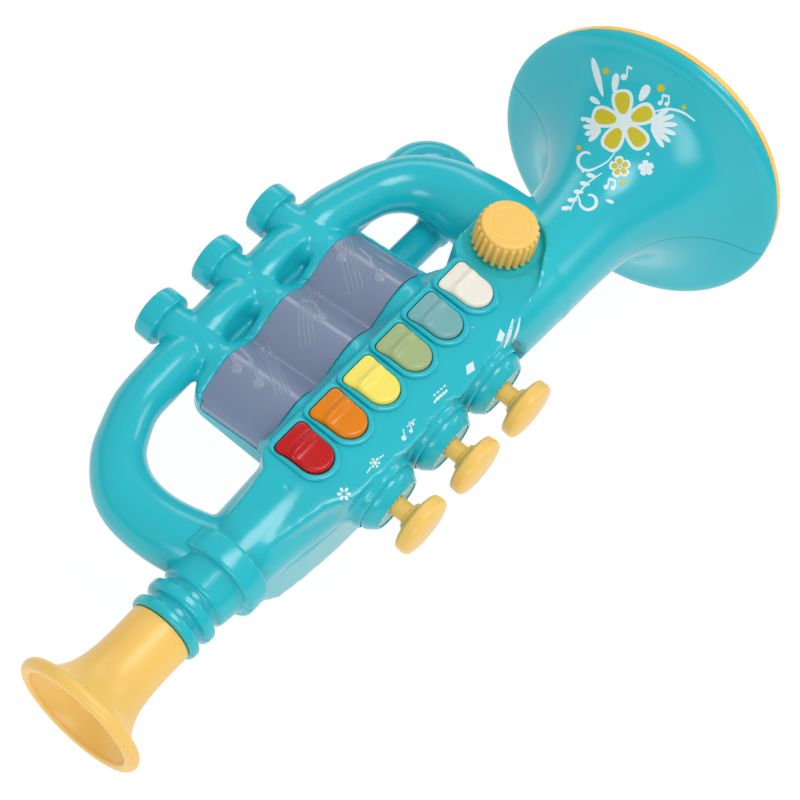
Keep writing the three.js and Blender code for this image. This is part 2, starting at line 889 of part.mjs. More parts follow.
const pistonHoles = valves.map((x) =>
  rod(
    stageOuterY - overrun,
    stageOuterY + stageDepth + overrun,
    pistonSpigotRadius + fitGap,
    "y",
    smallSides,
    x,
  ),
);
const collarSeats = valves.map((x) =>
  rod(2 * stageOuterY, stageOuterY, pistonCollarRadius + 2 * fitGap, "y", tubeSides, x),
);
const doorEndX = bayEndX + doorLedge;
const doorRecess = block(
  doorStartX - fitGap,
  doorEndX + fitGap,
  -doorHalfWidth - fitGap,
  doorHalfWidth + fitGap,
  bellyBottomZ - overrun,
  bellyBottomZ + doorThickness + fitGap,
);
const bayMouth = block(
  bayStartX,
  bayEndX,
  -bayHalfWidth,
  bayHalfWidth,
  bellyBottomZ - overrun,
  floorLowZ,
);
const screwTopZ = bellyBottomZ + screwLength;
const screwHole = rod(
  bellyBottomZ,
  screwTopZ + fitGap,
  screwRadius + fitGap,
  "z",
  smallSides / 2,
  doorScrewX,
);

const skin = cut(outer.subtract(hollow).add(bayWalls.intersect(outer)), [
  socket,
  speakerBore,
  bellHollow,
  ...keyHoles,
  ...flangeRooms,
  windowCut,
  windowHole,
  knobRecess,
  spindleHole,
  ...pistonHoles,
  ...collarSeats,
  doorRecess,
  bayMouth,
  screwHole,
]);
const reach = 2 * bellRadius;
const frontHalf = block(0, bellFrontX + reach, -reach, reach, seamGap / 2, reach);
const backHalf = block(0, bellFrontX + reach, -reach, reach, -reach, -seamGap / 2);
const frontShell = skin.intersect(frontHalf).asOriginal().simplify(mergeTolerance);
const backShell = skin.intersect(backHalf).add(boardPosts).asOriginal().simplify(mergeTolerance);

// Mouthpiece
const shankEndX = neckFrontX - fitGap;
const lipX = mouthLipRadius;
const lipCircleRadius = mouthRadius - mouthLipRadius;
const lipShares = [0.4, 0.8, 1.2, 1.6, 2];
const mouthpieceProfile = [
  [shankEndX + spigotLength, mouthBoreRadius],
  [shankEndX + spigotLength, spigotRadius],
  [shankEndX, spigotRadius],
  ...mouthOuterShares
    .map(([along, growth]) => [
      along * shankEndX,
      shankRadius + growth * (lipCircleRadius - shankRadius),
    ])
    .reverse(),
  ...lipShares.map((share) => [
    lipX + Math.cos((share * Math.PI) / 2) * mouthLipRadius,
    lipCircleRadius + Math.sin((share * Math.PI) / 2) * mouthLipRadius,
  ]),
  ...mouthCupShares
    .map(([along, growth]) => [
      along * shankEndX,
      mouthBoreRadius + growth * (lipCircleRadius - mouthBoreRadius),
    ])
    .reverse(),
];
mouthpieceProfile.push(mouthpieceProfile[0]);
const mouthpiece = turned(mouthpieceProfile, "x", tubeSides, 0, leadAxisY);

// Bell ring
const ringBackX = rimFaceX + fitGap;
const ringOuter = bellRadius - bellRingRound / 2;
const ringInner = ringOuter - bellRingWidth;
const bellRing = bellTurned([
  [ringBackX, ringInner + bellRingRound],
  [ringBackX, ringOuter],
  [bellFrontX - bellRingRound, ringOuter],
  [bellFrontX, ringOuter - bellRingRound],
  [bellFrontX, ringInner],
  [bellFrontX - bellRingRound, ringInner - bellRingRound / 2],
  [ringBackX, ringInner + bellRingRound],
]);

// Window cover and the light tray under it
const windowCover = leaned(
  windowWave(coverSink).subtract(windowWave(coverLow)).intersect(windowBlock(fitGap, -overrun)),
);
const trayBottomZ = wall + fitGap - backValleyZ;
const trayFloorZ = trayBottomZ + trayThickness;
const trayStartX = casingStartX + windowSideWall + ledgeWidth + casingSmallCorner;
const trayEndX = casingEndX - windowSideWall - ledgeWidth - casingSmallCorner;
const trayLowY = windowLowY + ledgeWidth;
const trayHighY = windowHighY - ledgeWidth;
const lightTray = leaned(join([
  block(trayStartX, trayEndX, trayLowY, trayHighY, trayBottomZ, trayFloorZ + trayRimHeight).subtract(
    block(
      trayStartX + trayThickness,
      trayEndX - trayThickness,
      trayLowY + trayThickness,
      trayHighY - trayThickness,
      trayFloorZ,
      trayFloorZ + trayRimHeight + overrun,
    ),
  ),
  ...valves.map((x) =>
    turned(
      [
        [trayFloorZ - trayThickness / 2, 0],
        [trayFloorZ - trayThickness / 2, lampRadius],
        [trayFloorZ + lampHeight / 2, lampRadius],
        [trayFloorZ + lampHeight * 0.85, lampRadius * 0.7],
        [trayFloorZ + lampHeight, 0],
      ],
      "z",
      smallSides / 2,
      x,
      (trayLowY + trayHighY) / 2,
    ),
  ),
]));

// Keys: the plan outline cut to a side view with a finger ridge, over a flange that the skin holds in
const keySide = [
  [keyEndY - 2 * keyEndRadius, keyBottomZ],
  [keyTopY + keyFlare, keyBottomZ],
  [keyTopY + keyFlare, keyTopZ - keyFlange / 2],
  [keyTopY - keyFlange, keyTopZ - keyFlange / 4],
  [keyRidgeY + keyRidgeHalf, keyTopZ + keyFlange / 4],
  [keyRidgeY + keyRidgeHalf / 3, keyRidgeZ],
  [keyRidgeY - keyRidgeHalf / 3, keyRidgeZ],
  [keyRidgeY - keyRidgeHalf, keyTopZ],
  [keyEndY - 2 * keyEndRadius, keyTopZ],
];
const keySideCut = lengthways(keySide, -2 * keyFlare, 2 * keyFlare);
const keyFlangeTopZ = panelTopZ - wall - fitGap;
const keyBody = join([
  toSolid(prism(keyShape(0), keyBottomZ, keyRidgeZ, keyFlange / 2)).intersect(keySideCut),
  toSolid(prism(keyShape(keyFlange), keyFlangeTopZ - keyFlangeThickness, keyFlangeTopZ)),
]);
const keyHollow = toSolid(prism(keyShape(-keyWall), keyBottomZ - overrun, keyTopZ - keyWall));
const keyPip = rod(keyBottomZ, keyTopZ - keyWall / 2, keyPipRadius, "z", smallSides / 2, 0, keyEndY + keyPipRadius);
const keySolid = keyBody.subtract(keyHollow).add(keyPip);

// Silicone pad with a dome under each key, on the main board
const padBottomZ = boardTopZ + fitGap;
const keyPad = join([
  block(
    keys[0] - padOverhang,
    keys[keyCount - 1] + padOverhang,
    keyEndY - keyEndRadius,
    keyTopY - keyWall,
    padBottomZ,
    padBottomZ + padThickness,
  ),
  ...keys.map((x) =>
    turned(
      [
        [padBottomZ + padThickness / 2, 0],
        [padBottomZ + padThickness / 2, padDomeRadius],
        [padBottomZ + padThickness, padDomeRadius],
        [padTopZ, padDomeRadius * 0.6],
        [padTopZ, 0],
      ],
      "z",
      smallSides / 2,
      x,
      keyEndY + keyPipRadius,
    ),
  ),
]);
const mainBoard = block(boardStartX, boardEndX, boardLowY, boardHighY, boardBottomZ, boardTopZ);

// Knob with tapering ribs, and the rotary switch that carries it
function knobRing(radius, z, ribDepth) {
  const steps = knobRibs * 4;
  const ring = [];
  for (let i = 0; i < steps; i++) {
    const turn = (i / steps) * 2 * Math.PI;
    const low = i % 4 > 1;
    const reachOut = radius - (low ? ribDepth : 0);
    ring.push(new THREE.Vector3(Math.cos(turn) * reachOut, Math.sin(turn) * reachOut, z));
  }
  return ring;
}
const knobHeight = knobTopZ - knobBottomZ;
const knobBody = loft([
  knobRing(knobBaseRadius, 0, knobRibDepth),
  knobRing(knobRadius + knobRibDepth / 4, knobHeight - knobTopRound, knobRibDepth),
  knobRing(knobRadius - knobRibDepth, knobHeight, 0),
]);
const spindleReach = spindleTopZ - knobBottomZ;
const knobBore = rod(-overrun, spindleReach + fitGap, spindleRadius + fitGap, "z", smallSides);
const knobSolid = knobBody.subtract(knobBore);
const switchBottomZ = boardTopZ + fitGap;
const rotarySwitch = join([
  block(
    knobX - switchLength / 2,
    knobX + switchLength / 2,
    knobY - switchLength / 2,
    knobY + switchLength / 2,
    switchBottomZ,
    switchBottomZ + switchHeight,
  ),
  rod(switchBottomZ, spindleTopZ, spindleRadius, "z", smallSides, knobX, knobY),
]);

// Pistons and their collars, turned about the valve line
const spigotInnerY = stageOuterY + pistonSpigotLength;
const pistonRingY = spigotInnerY + fitGap;
const pistonInnerY = pistonRingY + pistonRingThickness + pistonTipLength;
const headDepth = headOuterY - headInnerY;
const pistonProfile = [
  [pistonInnerY, 0],
  [pistonInnerY, stemRadius],
  [pistonRingY + pistonRingThickness, stemRadius],
  [pistonRingY + pistonRingThickness, pistonRingRadius],
  [pistonRingY, pistonRingRadius],
  [pistonRingY, stemRadius],
  [headInnerY + collarFaceRecess, stemRadius],
  [headInnerY, headCollarRadius],
  ...headShares.map(([along, width]) => [headInnerY + along * headDepth, width * headRadius]),
  [headOuterY, 0],
];
const piston = turned(pistonProfile, "y", smallSides);
const collarBackY = stageOuterY - fitGap;
const collarNeckY = collarBackY - pistonCollarNeckLength;
const collarBandY = collarNeckY - pistonCollarBandLength;
const pistonBoreRadius = stemRadius + fitGap;
const faceY = pistonCollarFaceY;
const pistonCollarProfile = [
  [spigotInnerY, pistonBoreRadius],
  [spigotInnerY, pistonSpigotRadius],
  [collarBackY, pistonSpigotRadius],
  [collarBackY, pistonCollarNeckRadius],
  [collarNeckY, pistonCollarNeckRadius],
  [collarNeckY, pistonCollarRadius - edgeRound / 2],
  [collarNeckY - edgeRound / 2, pistonCollarRadius],
  [collarBandY, pistonCollarRadius],
  [(collarBandY + faceY) / 2 - edgeRound / 4, (pistonCollarRadius + pistonCollarFaceRadius) / 2 + edgeRound / 2],
  [faceY, pistonCollarFaceRadius],
  [faceY, pistonCollarFaceRadius - collarFaceLip],
  [faceY + collarFaceRecess, pistonCollarFaceRadius - collarFaceLip],
  [faceY + collarFaceRecess, pistonBoreRadius],
  [spigotInnerY, pistonBoreRadius],
];
const pistonCollar = turned(pistonCollarProfile, "y", tubeSides);

// Board with a push switch behind each piston
const switchTipY = pistonInnerY + pistonTravel + fitGap;
const pistonBoardY = switchTipY + pistonTipLength * 3;
const pistonBoardHighZ = boardBottomZ - wall;
const pistonBoardLowZ = floorHighZ + fitGap;
const pistonBoard = join([
  block(
    valves[0] - pistonRingRadius * 1.5,
    valves[valveCount - 1] + pistonRingRadius * 1.5,
    pistonBoardY,
    pistonBoardY + boardThickness,
    pistonBoardLowZ,
    pistonBoardHighZ,
  ),
  ...valves.map((x) =>
    rod(switchTipY, pistonBoardY + boardThickness / 2, stemRadius / 2, "y", smallSides / 2, x),
  ),
]);

// Battery door, its screw, the cells and their contacts
const doorTopZ = bellyBottomZ + doorThickness;
const batteryDoor = join([
  block(doorStartX, doorEndX, -doorHalfWidth, doorHalfWidth, bellyBottomZ, doorTopZ),
  block(
    bayStartX + fitGap,
    bayEndX - fitGap,
    -bayHalfWidth + fitGap,
    bayHalfWidth - fitGap,
    doorTopZ - overrun,
    doorTopZ + doorPadThickness,
  ),
])
  .subtract(rod(bellyBottomZ - overrun, doorTopZ + overrun, screwRadius + fitGap, "z", smallSides / 2, doorScrewX))
  .subtract(
    rod(
      bellyBottomZ - overrun,
      bellyBottomZ + screwHeadHeight - screwHeadHeight / 3,
      screwHeadRadius + fitGap,
      "z",
      smallSides,
      doorScrewX,
    ),
  );
const screwHeadTopZ = bellyBottomZ + screwHeadHeight - screwHeadHeight / 3 - fitGap;
const doorScrew = join([
  rod(bellyBottomZ, screwHeadTopZ, screwHeadRadius, "z", smallSides, doorScrewX),
  rod(bellyBottomZ, screwTopZ, screwRadius, "z", smallSides / 2, doorScrewX),
]);
const cellYs = [-cellSpacing / 2, cellSpacing / 2];
const cellProfile = [
  [0, 0],
  [0, cellDiameter / 2],
  [cellLength - cellTipLength, cellDiameter / 2],
  [cellLength - cellTipLength, cellTipRadius],
  [cellLength, cellTipRadius],
  [cellLength, 0],
];
const cell = turned(cellProfile, "x", smallSides);
const plateLowZ = cellBottomZ;
const plateHighZ = floorLowZ - fitGap;
const plateHalfWidth = bayHalfWidth - fitGap;
const frontPlateX = cellStartX - fitGap - contactThickness;
const rearPlateX = bayEndX - fitGap - contactThickness;
const frontPlate = block(
  frontPlateX,
  frontPlateX + contactThickness,
  -plateHalfWidth,
  plateHalfWidth,
  plateLowZ,
  plateHighZ,
);
const springStartX = cellStartX + cellLength + fitGap;
const rearPlate = join([
  block(
    rearPlateX,
    rearPlateX + contactThickness,
    -plateHalfWidth,
    plateHalfWidth,
    plateLowZ,
    plateHighZ,
  ),
  ...cellYs.map((y) =>
    turned(
      [
        [springStartX, 0],
        [springStartX, contactSpringRadius * 0.6],
        [rearPlateX + contactThickness / 2, contactSpringRadius],
        [rearPlateX + contactThickness / 2, 0],
      ],
      "x",
      smallSides / 2,
      0,
      y,
      cellAxisZ,
    ),
  ),
]);

// Loudspeaker behind the shelf and grille in front of it
const speakerFrontX = speakerShelfX - fitGap;
const speaker = turned(
  [
    [speakerFrontX - coneDepth, 0],
    [speakerFrontX - coneDepth, speakerRadius * 0.3],
    [speakerFrontX - speakerFlange / 2, speakerRadius * 0.85],
    [speakerFrontX, speakerRadius * 0.9],
    [speakerFrontX, speakerRadius],
    [speakerFrontX - speakerFlange, speakerRadius],
    [speakerFrontX - speakerDepth + magnetDepth, magnetRadius * 1.15],
    [speakerFrontX - speakerDepth + magnetDepth, magnetRadius],
    [speakerFrontX - speakerDepth, magnetRadius],
    [speakerFrontX - speakerDepth, 0],
  ],
  "x",
  tubeSides,
  0,
  bellAxisY,
);
const grilleX = shelfFrontX + fitGap;
const grilleRadius = cupRadius - fitGap;
const grilleHoles = [];
for (let ring = 0; ring < grilleRings; ring++) {
  const count = ring === 0 ? 1 : ring * 5;
  for (let i = 0; i < count; i++) {
    const turn = (i / count) * 2 * Math.PI;
    const out = ring * grilleRingPitch;
    grilleHoles.push(
      rod(
        grilleX - overrun,
        grilleX + grilleThickness + overrun,
        grilleHoleRadius,
        "x",
        6,
        0,
        bellAxisY + Math.cos(turn) * out,
        Math.sin(turn) * out,
      ),
    );
  }
}
const speakerGrille = cut(
  rod(grilleX, grilleX + grilleThickness, grilleRadius, "x", tubeSides, 0, bellAxisY),
  grilleHoles,
).transform(bellLean.elements);

// Materials
function plastic(color, roughness = 0.22) {
  return new THREE.MeshStandardMaterial({ color, roughness, metalness: 0 });
}
const teal = plastic(0x35bac8);
const yellow = plastic(0xf6c872, 0.35);
const cellSkin = plastic(0x2f3a40, 0.4);
const boardGreen = plastic(0x2c7a4b, 0.5);
const darkPlastic = plastic(0x2a2c2e, 0.5);
const silicone = plastic(0xd8d8d2, 0.7);
const white = plastic(0xf2f2ee, 0.4);
const steel = new THREE.MeshStandardMaterial({ color: 0xc9ccd0, roughness: 0.3, metalness: 1 });
const tinted = new THREE.MeshStandardMaterial({
  color: 0x8090b4,
  roughness: 0.15,
  metalness: 0,
  transparent: true,
  opacity: 0.6,
});
const keyNames = ["red", "orange", "yellow", "green", "slate", "white"];
const keyColors = [0xc41f25, 0xe58a00, 0xffee70, 0xa9bc85, 0x7fb4b6, 0xefebe3];

const trumpet = new THREE.Group();

function place(name, solid, material, x = 0, y = 0, z = 0, parent = trumpet) {
  const mesh = new THREE.Mesh(toGeometry(solid), material);
  mesh.name = name;
  mesh.position.set(x, y, z);
  parent.add(mesh);
}

place("front_shell", frontShell, teal);
place("back_shell", backShell, teal);
place("tuning_bow", tuningBow, teal);
place("mouthpiece", mouthpiece, yellow);
place("bell_ring", bellRing, yellow);
place("window_cover", windowCover, tinted);
place("light_tray", lightTray, white);
keys.forEach((x, i) => place("key_" + keyNames[i], keySolid, plastic(keyColors[i], 0.25), x));
place("key_pad", keyPad, silicone);
place("main_board", mainBoard, boardGreen);
place("mode_knob", knobSolid, yellow, knobX, knobY, knobBottomZ);
place("rotary_switch", rotarySwitch, darkPlastic);
valves.forEach((x, i) => {
  place("piston_collar_" + (i + 1), pistonCollar, teal, x);
  place("piston_" + (i + 1), piston, yellow, x);
});
place("piston_board", pistonBoard, boardGreen);
place("battery_door", batteryDoor, teal);
place("door_screw", doorScrew, steel);
cellYs.forEach((y, i) => place("battery_" + (i + 1), cell, cellSkin, cellStartX, y, cellAxisZ));
place("contact_plate_front", frontPlate, steel);
place("contact_plate_rear", rearPlate, steel);
place("speaker", speaker, darkPlastic);
place("speaker_grille", speakerGrille, teal);

// Origin under the middle of the horn, on the level of the bell rim's lowest point
const box = new THREE.Box3().setFromObject(trumpet);
const middle = box.getCenter(new THREE.Vector3());
trumpet.position.set(-middle.x, -middle.y, -box.min.z);

export default trumpet;
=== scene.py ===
from math import copysign, cos, pi, radians, sin, sqrt

import bpy
import numpy as np
from mathutils import Matrix, Vector
from mathutils.bvhtree import BVHTree


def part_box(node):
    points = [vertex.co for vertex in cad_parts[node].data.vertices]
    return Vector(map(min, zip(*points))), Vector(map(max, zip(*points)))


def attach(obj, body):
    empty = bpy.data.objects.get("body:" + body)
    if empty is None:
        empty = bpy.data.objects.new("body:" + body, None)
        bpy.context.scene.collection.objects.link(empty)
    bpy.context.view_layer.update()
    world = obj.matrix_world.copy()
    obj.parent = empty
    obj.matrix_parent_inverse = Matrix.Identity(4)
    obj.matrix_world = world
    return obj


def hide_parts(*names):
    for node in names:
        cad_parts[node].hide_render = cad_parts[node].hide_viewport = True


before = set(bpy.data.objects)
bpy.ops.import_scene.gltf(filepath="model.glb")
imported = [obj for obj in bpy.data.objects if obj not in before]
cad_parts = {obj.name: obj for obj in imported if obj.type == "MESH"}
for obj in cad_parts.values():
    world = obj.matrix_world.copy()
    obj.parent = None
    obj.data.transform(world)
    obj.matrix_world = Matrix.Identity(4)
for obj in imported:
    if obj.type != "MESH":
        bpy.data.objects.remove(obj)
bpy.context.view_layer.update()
print("frame loaded")

# Sizes are in millimetres in the horn's own frame, as in the part's source: X is zero at the mouthpiece rim,
# Y on the line of the horn and Z on the parting plane. The knob and the mouthpiece show where that frame lies.
mm = 0.001
knob = {
    "x": 248.6, "y": 9.1, "bottom": 16.6, "top": 30.1, "baseRadius": 13.0, "topRadius": 12.2,
    "coreRadius": 11.15, "disc": 2.1, "discRadius": 11.5, "discStep": 0.4, "topRound": 1.3, "ribs": 24,
    "ribWidth": 1.1, "ribEnd": 1.5, "ribSink": 1.25, "ribLift": 1.4, "boreRadius": 3.3, "boreDepth": 9.7,
    "spindleTop": 18,
    "ring": [(0, 8.2), (0.18, 7.9), (0.18, 7.2), (0, 6.9)],
}
knobLow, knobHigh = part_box("mode_knob")
hornOrigin = np.array([
    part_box("mouthpiece")[0].x,
    (knobLow.y + knobHigh.y) / 2 - knob["y"] * mm,
    knobLow.z - knob["bottom"] * mm,
])


def toRow(points):
    return np.asarray(points, float) * mm + hornOrigin


def toWorld(point):
    return Vector(toRow(point))


def vertexArray(mesh):
    points = np.zeros(len(mesh.vertices) * 3)
    mesh.vertices.foreach_get("co", points)
    return (points.reshape(-1, 3) - hornOrigin) / mm


def setVertices(mesh, points):
    mesh.vertices.foreach_set("co", toRow(points).ravel())
    mesh.update()


def addObject(name, data):
    thing = bpy.data.objects.new(name, data)
    bpy.context.scene.collection.objects.link(thing)
    return thing


def makeObject(name, points, faces):
    # a mesh with its faces turned outwards, by the sign of its volume
    mesh = bpy.data.meshes.new(name)
    mesh.from_pydata(toRow(points).tolist(), [], faces)
    mesh.update()
    mesh.calc_loop_triangles()
    spots = vertexArray(mesh)
    spots -= spots.mean(0)
    corners = np.zeros(len(mesh.loop_triangles) * 3, int)
    mesh.loop_triangles.foreach_get("vertices", corners)
    a, b, c = (spots[corners.reshape(-1, 3)[:, i]] for i in range(3))
    if (a * np.cross(b, c)).sum() < 0:
        mesh.flip_normals()
    return addObject(name, mesh)


def circle(sides):
    return np.linspace(0, 2 * pi, sides, endpoint=False)


def quarter(steps):
    return [i / steps * pi / 2 for i in range(steps + 1)]


def unit(rows, least=0.0):
    return rows / (np.linalg.norm(rows, axis=1)[:, None] + least)


def level(outline, along, axis="z"):
    # an outline's points, with their place along the axis that it is square to
    return np.insert(np.asarray(outline, float), "xyz".index(axis), along, axis=1)


def loft(name, rings, closed=False):
    # a skin over rings of equal counts of points, with flat ends, or joined end to end
    rings = np.asarray(rings, float)
    count, sides = rings.shape[:2]
    faces = []
    for i in range(count if closed else count - 1):
        here, there = i * sides, (i + 1) % count * sides
        for j in range(sides):
            k = (j + 1) % sides
            faces.append((here + j, here + k, there + k, there + j))
    if not closed:
        faces += [tuple(reversed(range(sides))), tuple(range((count - 1) * sides, count * sides))]
    return makeObject(name, rings.reshape(-1, 3), faces)


def curveThrough(points, steps):
    # a centripetal Catmull-Rom curve through the points, by repeated blends between its knots
    p = np.asarray(points, float)
    p = np.vstack([2 * p[0] - p[1], p, 2 * p[-1] - p[-2]])
    out = []
    for i in range(1, len(p) - 2):
        corners, knots = p[i - 1:i + 3], [0.0]
        for a, b in zip(corners, corners[1:]):
            knots.append(knots[-1] + max(np.linalg.norm(b - a) ** 0.5, 1e-6))
        for t in np.linspace(knots[1], knots[2], steps, endpoint=False):
            blend = corners
            for spans in (((0, 1), (1, 2), (2, 3)), ((0, 2), (1, 3)), ((1, 2),)):
                blend = [((knots[n] - t) * a + (t - knots[m]) * b) / (knots[n] - knots[m])
                         for (m, n), a, b in zip(spans, blend, blend[1:])]
            out.append(blend[0])
    return np.array([*out, p[-2]])


def tube(name, stations, steps, sides=72, z=0.0):
    # a tube through stations of [x, y, radius], its circles square to the path
    path, turn, rings = curveThrough(stations, steps), circle(sides), []
    for (x, y, radius), (ax, ay) in zip(path, unit(np.gradient(path[:, :2], axis=0))):
        across = np.cos(turn) * radius
        rings.append(np.c_[x - ay * across, y + ax * across, z + np.sin(turn) * radius])
    return loft(name, rings)


def stepped(*sizes):
    # the profile of a stepped rod: place, radius, place, radius and so on to its last place
    return [(x, radius) for a, radius, b in zip(sizes[::2], sizes[1::2], sizes[2::2]) for x in (a, b)]


def turned(name, profile, axis, sides=96, centre=(0, 0, 0), leaning=False):
    # a profile of [along, radius] turned about a line parallel to an axis: a loop where it ends as it starts
    profile = np.asarray(profile, float)
    closed = np.allclose(profile[0], profile[-1])
    profile = profile[:-1] if closed else profile[profile[:, 1] > 1e-6]
    turn = np.c_[np.cos(circle(sides)), np.sin(circle(sides))]
    rings = np.array([level(turn * radius, along, axis) + centre for along, radius in profile])
    if leaning:
        rings[..., 0] += bellShift(rings)
    return loft(name, rings, closed)


def prism(name, outline, low, high, axis="z"):
    # an outline carried along an axis: (x, y) along z, (x, z) along y or (y, z) along x
    return loft(name, [level(outline, low, axis), level(outline, high, axis)])


def block(name, x, y, z):
    return prism(name, [(x[0], y[0]), (x[1], y[0]), (x[1], y[1]), (x[0], y[1])], *z)


def arc(x, y, radius, start, end, steps=12):
    turn = np.radians(np.linspace(start, end, steps + 1))
    return [(x + cos(t) * radius, y + sin(t) * radius) for t in turn]


def winding(outline):
    # 1 for an outline that runs anticlockwise, and -1 for a clockwise one
    after = np.roll(outline, -1, 0)
    return np.sign((outline[:, 0] * after[:, 1] - after[:, 0] * outline[:, 1]).sum())


def offset(outline, distance):
    # moves each point of a closed outline outwards along its own normal
    p = np.asarray(outline, float)
    a, b, side = unit(p - np.roll(p, 1, 0), 1e-12), unit(np.roll(p, -1, 0) - p, 1e-12), winding(p)
    normal = unit(np.c_[a[:, 1] + b[:, 1], -a[:, 0] - b[:, 0]] * side, 1e-12)
    stretch = 1 / np.clip((normal * np.c_[b[:, 1], -b[:, 0]] * side).sum(1), 0.6, 1)
    return p + normal * distance * stretch[:, None]


def moulded(name, outline, low, high, rounding, flare=None):
    # an outline raised with its upper edge rounded inwards, or for a hole rounded outwards and flared on above
    spread, rings = rounding if flare else -rounding, [level(outline, low)]
    for turn in quarter(5):
        rings.append(level(offset(outline, spread * (1 - cos(turn))), high - rounding * (1 - sin(turn))))
    if flare:
        rings.append(level(offset(outline, flare["spread"]), high + flare["rise"]))
    return loft(name, rings)


def eased(points, rounding):
    # rounds the corners of a profile; a list gives each corner its own size
    points = [np.array(p, float) for p in points]
    out = [points[0]]
    for before, corner, after, size in zip(points, points[1:], points[2:], rounding[1:]):
        back, ahead = before - corner, after - corner
        reach = min(size, np.linalg.norm(back) * 0.49, np.linalg.norm(ahead) * 0.49)
        if reach < 0.02:
            out.append(corner)
            continue
        start = corner + back / np.linalg.norm(back) * reach
        end = corner + ahead / np.linalg.norm(ahead) * reach
        for t in np.linspace(0, 1, 7):
            out.append(start * (1 - t) ** 2 + corner * 2 * t * (1 - t) + end * t * t)
    return [*out, points[-1]]


def settle(piece):
    # turns the modifiers' result into the piece's own mesh
    mesh = bpy.data.meshes.new_from_object(piece.evaluated_get(bpy.context.evaluated_depsgraph_get()))
    piece.modifiers.clear()
    piece.data = mesh
    mesh.name = piece.name
    return piece


def combine(piece, others, operation):
    for other in others:
        step = piece.modifiers.new(operation, "BOOLEAN")
        step.operation, step.solver, step.object = operation, "MANIFOLD", other
        settle(piece)
        mesh = other.data
        bpy.data.objects.remove(other)
        bpy.data.meshes.remove(mesh)
    return piece


def join(piece, *others):
    return combine(piece, others, "UNION")


def cut(piece, *others):
    return combine(piece, others, "DIFFERENCE")


def common(piece, *others):
    return combine(piece, others, "INTERSECT")


def soften(piece, voxel, passes):
    # one skin over all, as a mould leaves it: corners round off and joints fill
    skin = piece.modifiers.new("skin", "REMESH")
    skin.mode, skin.voxel_size, skin.use_smooth_shade = "VOXEL", voxel * mm, True
    smooth = piece.modifiers.new("smooth", "SMOOTH")
    smooth.factor, smooth.iterations = 0.5, passes
    return settle(piece)


def shade(piece, angle):
    # smooth shading that keeps edges sharper than the angle
    piece.data.shade_smooth()
    piece.data.set_sharp_from_angle(angle=radians(angle))
    return piece


def rename(piece, name):
    piece.name = piece.data.name = name
    return piece


neck = {
    "axisY": 2.3, "start": 43.2, "ringLength": 4.0, "ringRadius": 14.6, "grooveLength": 4.2, "grooveRadius": 12,
    "footShare": 0.7, "bandRadius": 13.7, "collarX": 69.3, "collarLength": 10, "collarRadius": 18.4,
    "endRadius": 15.2, "rootRadius": 13, "root": 5, "socketRadius": 9.9, "socketDepth": 15,
}
body = {
    "stations": [
        (74.3, 2.3, 14.8), (93, 2.0, 15.8), (113.7, 1.16, 17.6), (138, 0.1, 19.83), (164.4, -1.06, 20.99),
        (220.7, -3.56, 21.12), (262, -4.85, 21.5),
    ],
}
bell = {
    "axisY": -4.85, "leanY": -0.031, "leanZ": 0.079, "radius": 65.3, "wall": 2.4, "front": 337, "face": 333.8,
    "profile": [
        (250, 21.4), (256, 21.4), (271.6, 21.93), (285.6, 22.94), (294.9, 24.47), (302.7, 27.11), (309.7, 30.62),
        (315.9, 35.23), (321, 40.72), (324.9, 46.42), (327.2, 51.69), (329, 57.18), (330.1, 61.13),
        (331.3, 63.7), (332.4, 64.8), (333.8, 65.3),
    ],
    "sides": 220, "trueFrom": 284, "trueOver": 14, "trueRadius": 15, "trueReach": 1.6,
    "shelf": 284.0, "shelfStep": 0.5, "thinning": 0.6, "hole": 15.6, "shelfBack": 280.0, "cavity": 19.2,
    "cavityBack": 270,
}
panel = {
    "topZ": 17.4, "rampX": 113, "startX": 79, "startZ": 12, "endX": 269, "halfWidth": 21.5, "depth": 23,
    "shares": [
        (0, -0.28), (0.18, -0.65), (0.22, -0.84), (0.37, -0.95), (0.52, -1), (0.65, -0.92), (0.76, -0.77),
        (0.85, -0.62), (0.893, -0.43), (0.94, -0.19), (0.97, 0.08), (0.985, 0.45), (0.97, 0.85), (0.9, 1.15),
        (0.82, 1.1), (0.8, 0.93), (0.785, 0.8), (0.74, 0.88), (0.195, 0.88), (0.183, 0.87), (0.171, 0.8),
        (0.157, 0.65), (0, 0.5),
    ],
}
keys = {
    "pitch": 19.46, "first": 123.6, "endRadius": 7, "endY": 2.6, "topY": 15.9, "flare": 7.9, "shoulder": 5.2,
    "topZ": 20.6, "ridgeZ": 22, "ridgeY": 9.6, "ridgeHalf": 2.6, "bottomZ": 13, "gap": 0.35, "bulge": 0.4,
    "holeRound": 0.55, "holeFlare": {"spread": 1.1, "rise": 3},
    "names": ["red", "orange", "yellow", "green", "slate", "white"],
    "colours": ["C80F14", "E98600", "FCEC6E", "AABD86", "7AB4B6", "F4F0E4"],
    "shades": ["BF0C11", "E27E00", "F8E666", "A2B57E", "73ADAF", "EEE9DC"],
}
bezel = {"halfWidth": 9.25, "endY": 1.9, "topY": 18.6, "corner": 3.4, "topZ": 19.1, "bottomZ": 14, "round": 1.1}
valves = {"first": 137.9, "pitch": 33.4, "count": 3}
valveXs = [valves["first"] + i * valves["pitch"] for i in range(valves["count"])]
keyXs = [keys["first"] + i * keys["pitch"] for i in range(len(keys["names"]))]
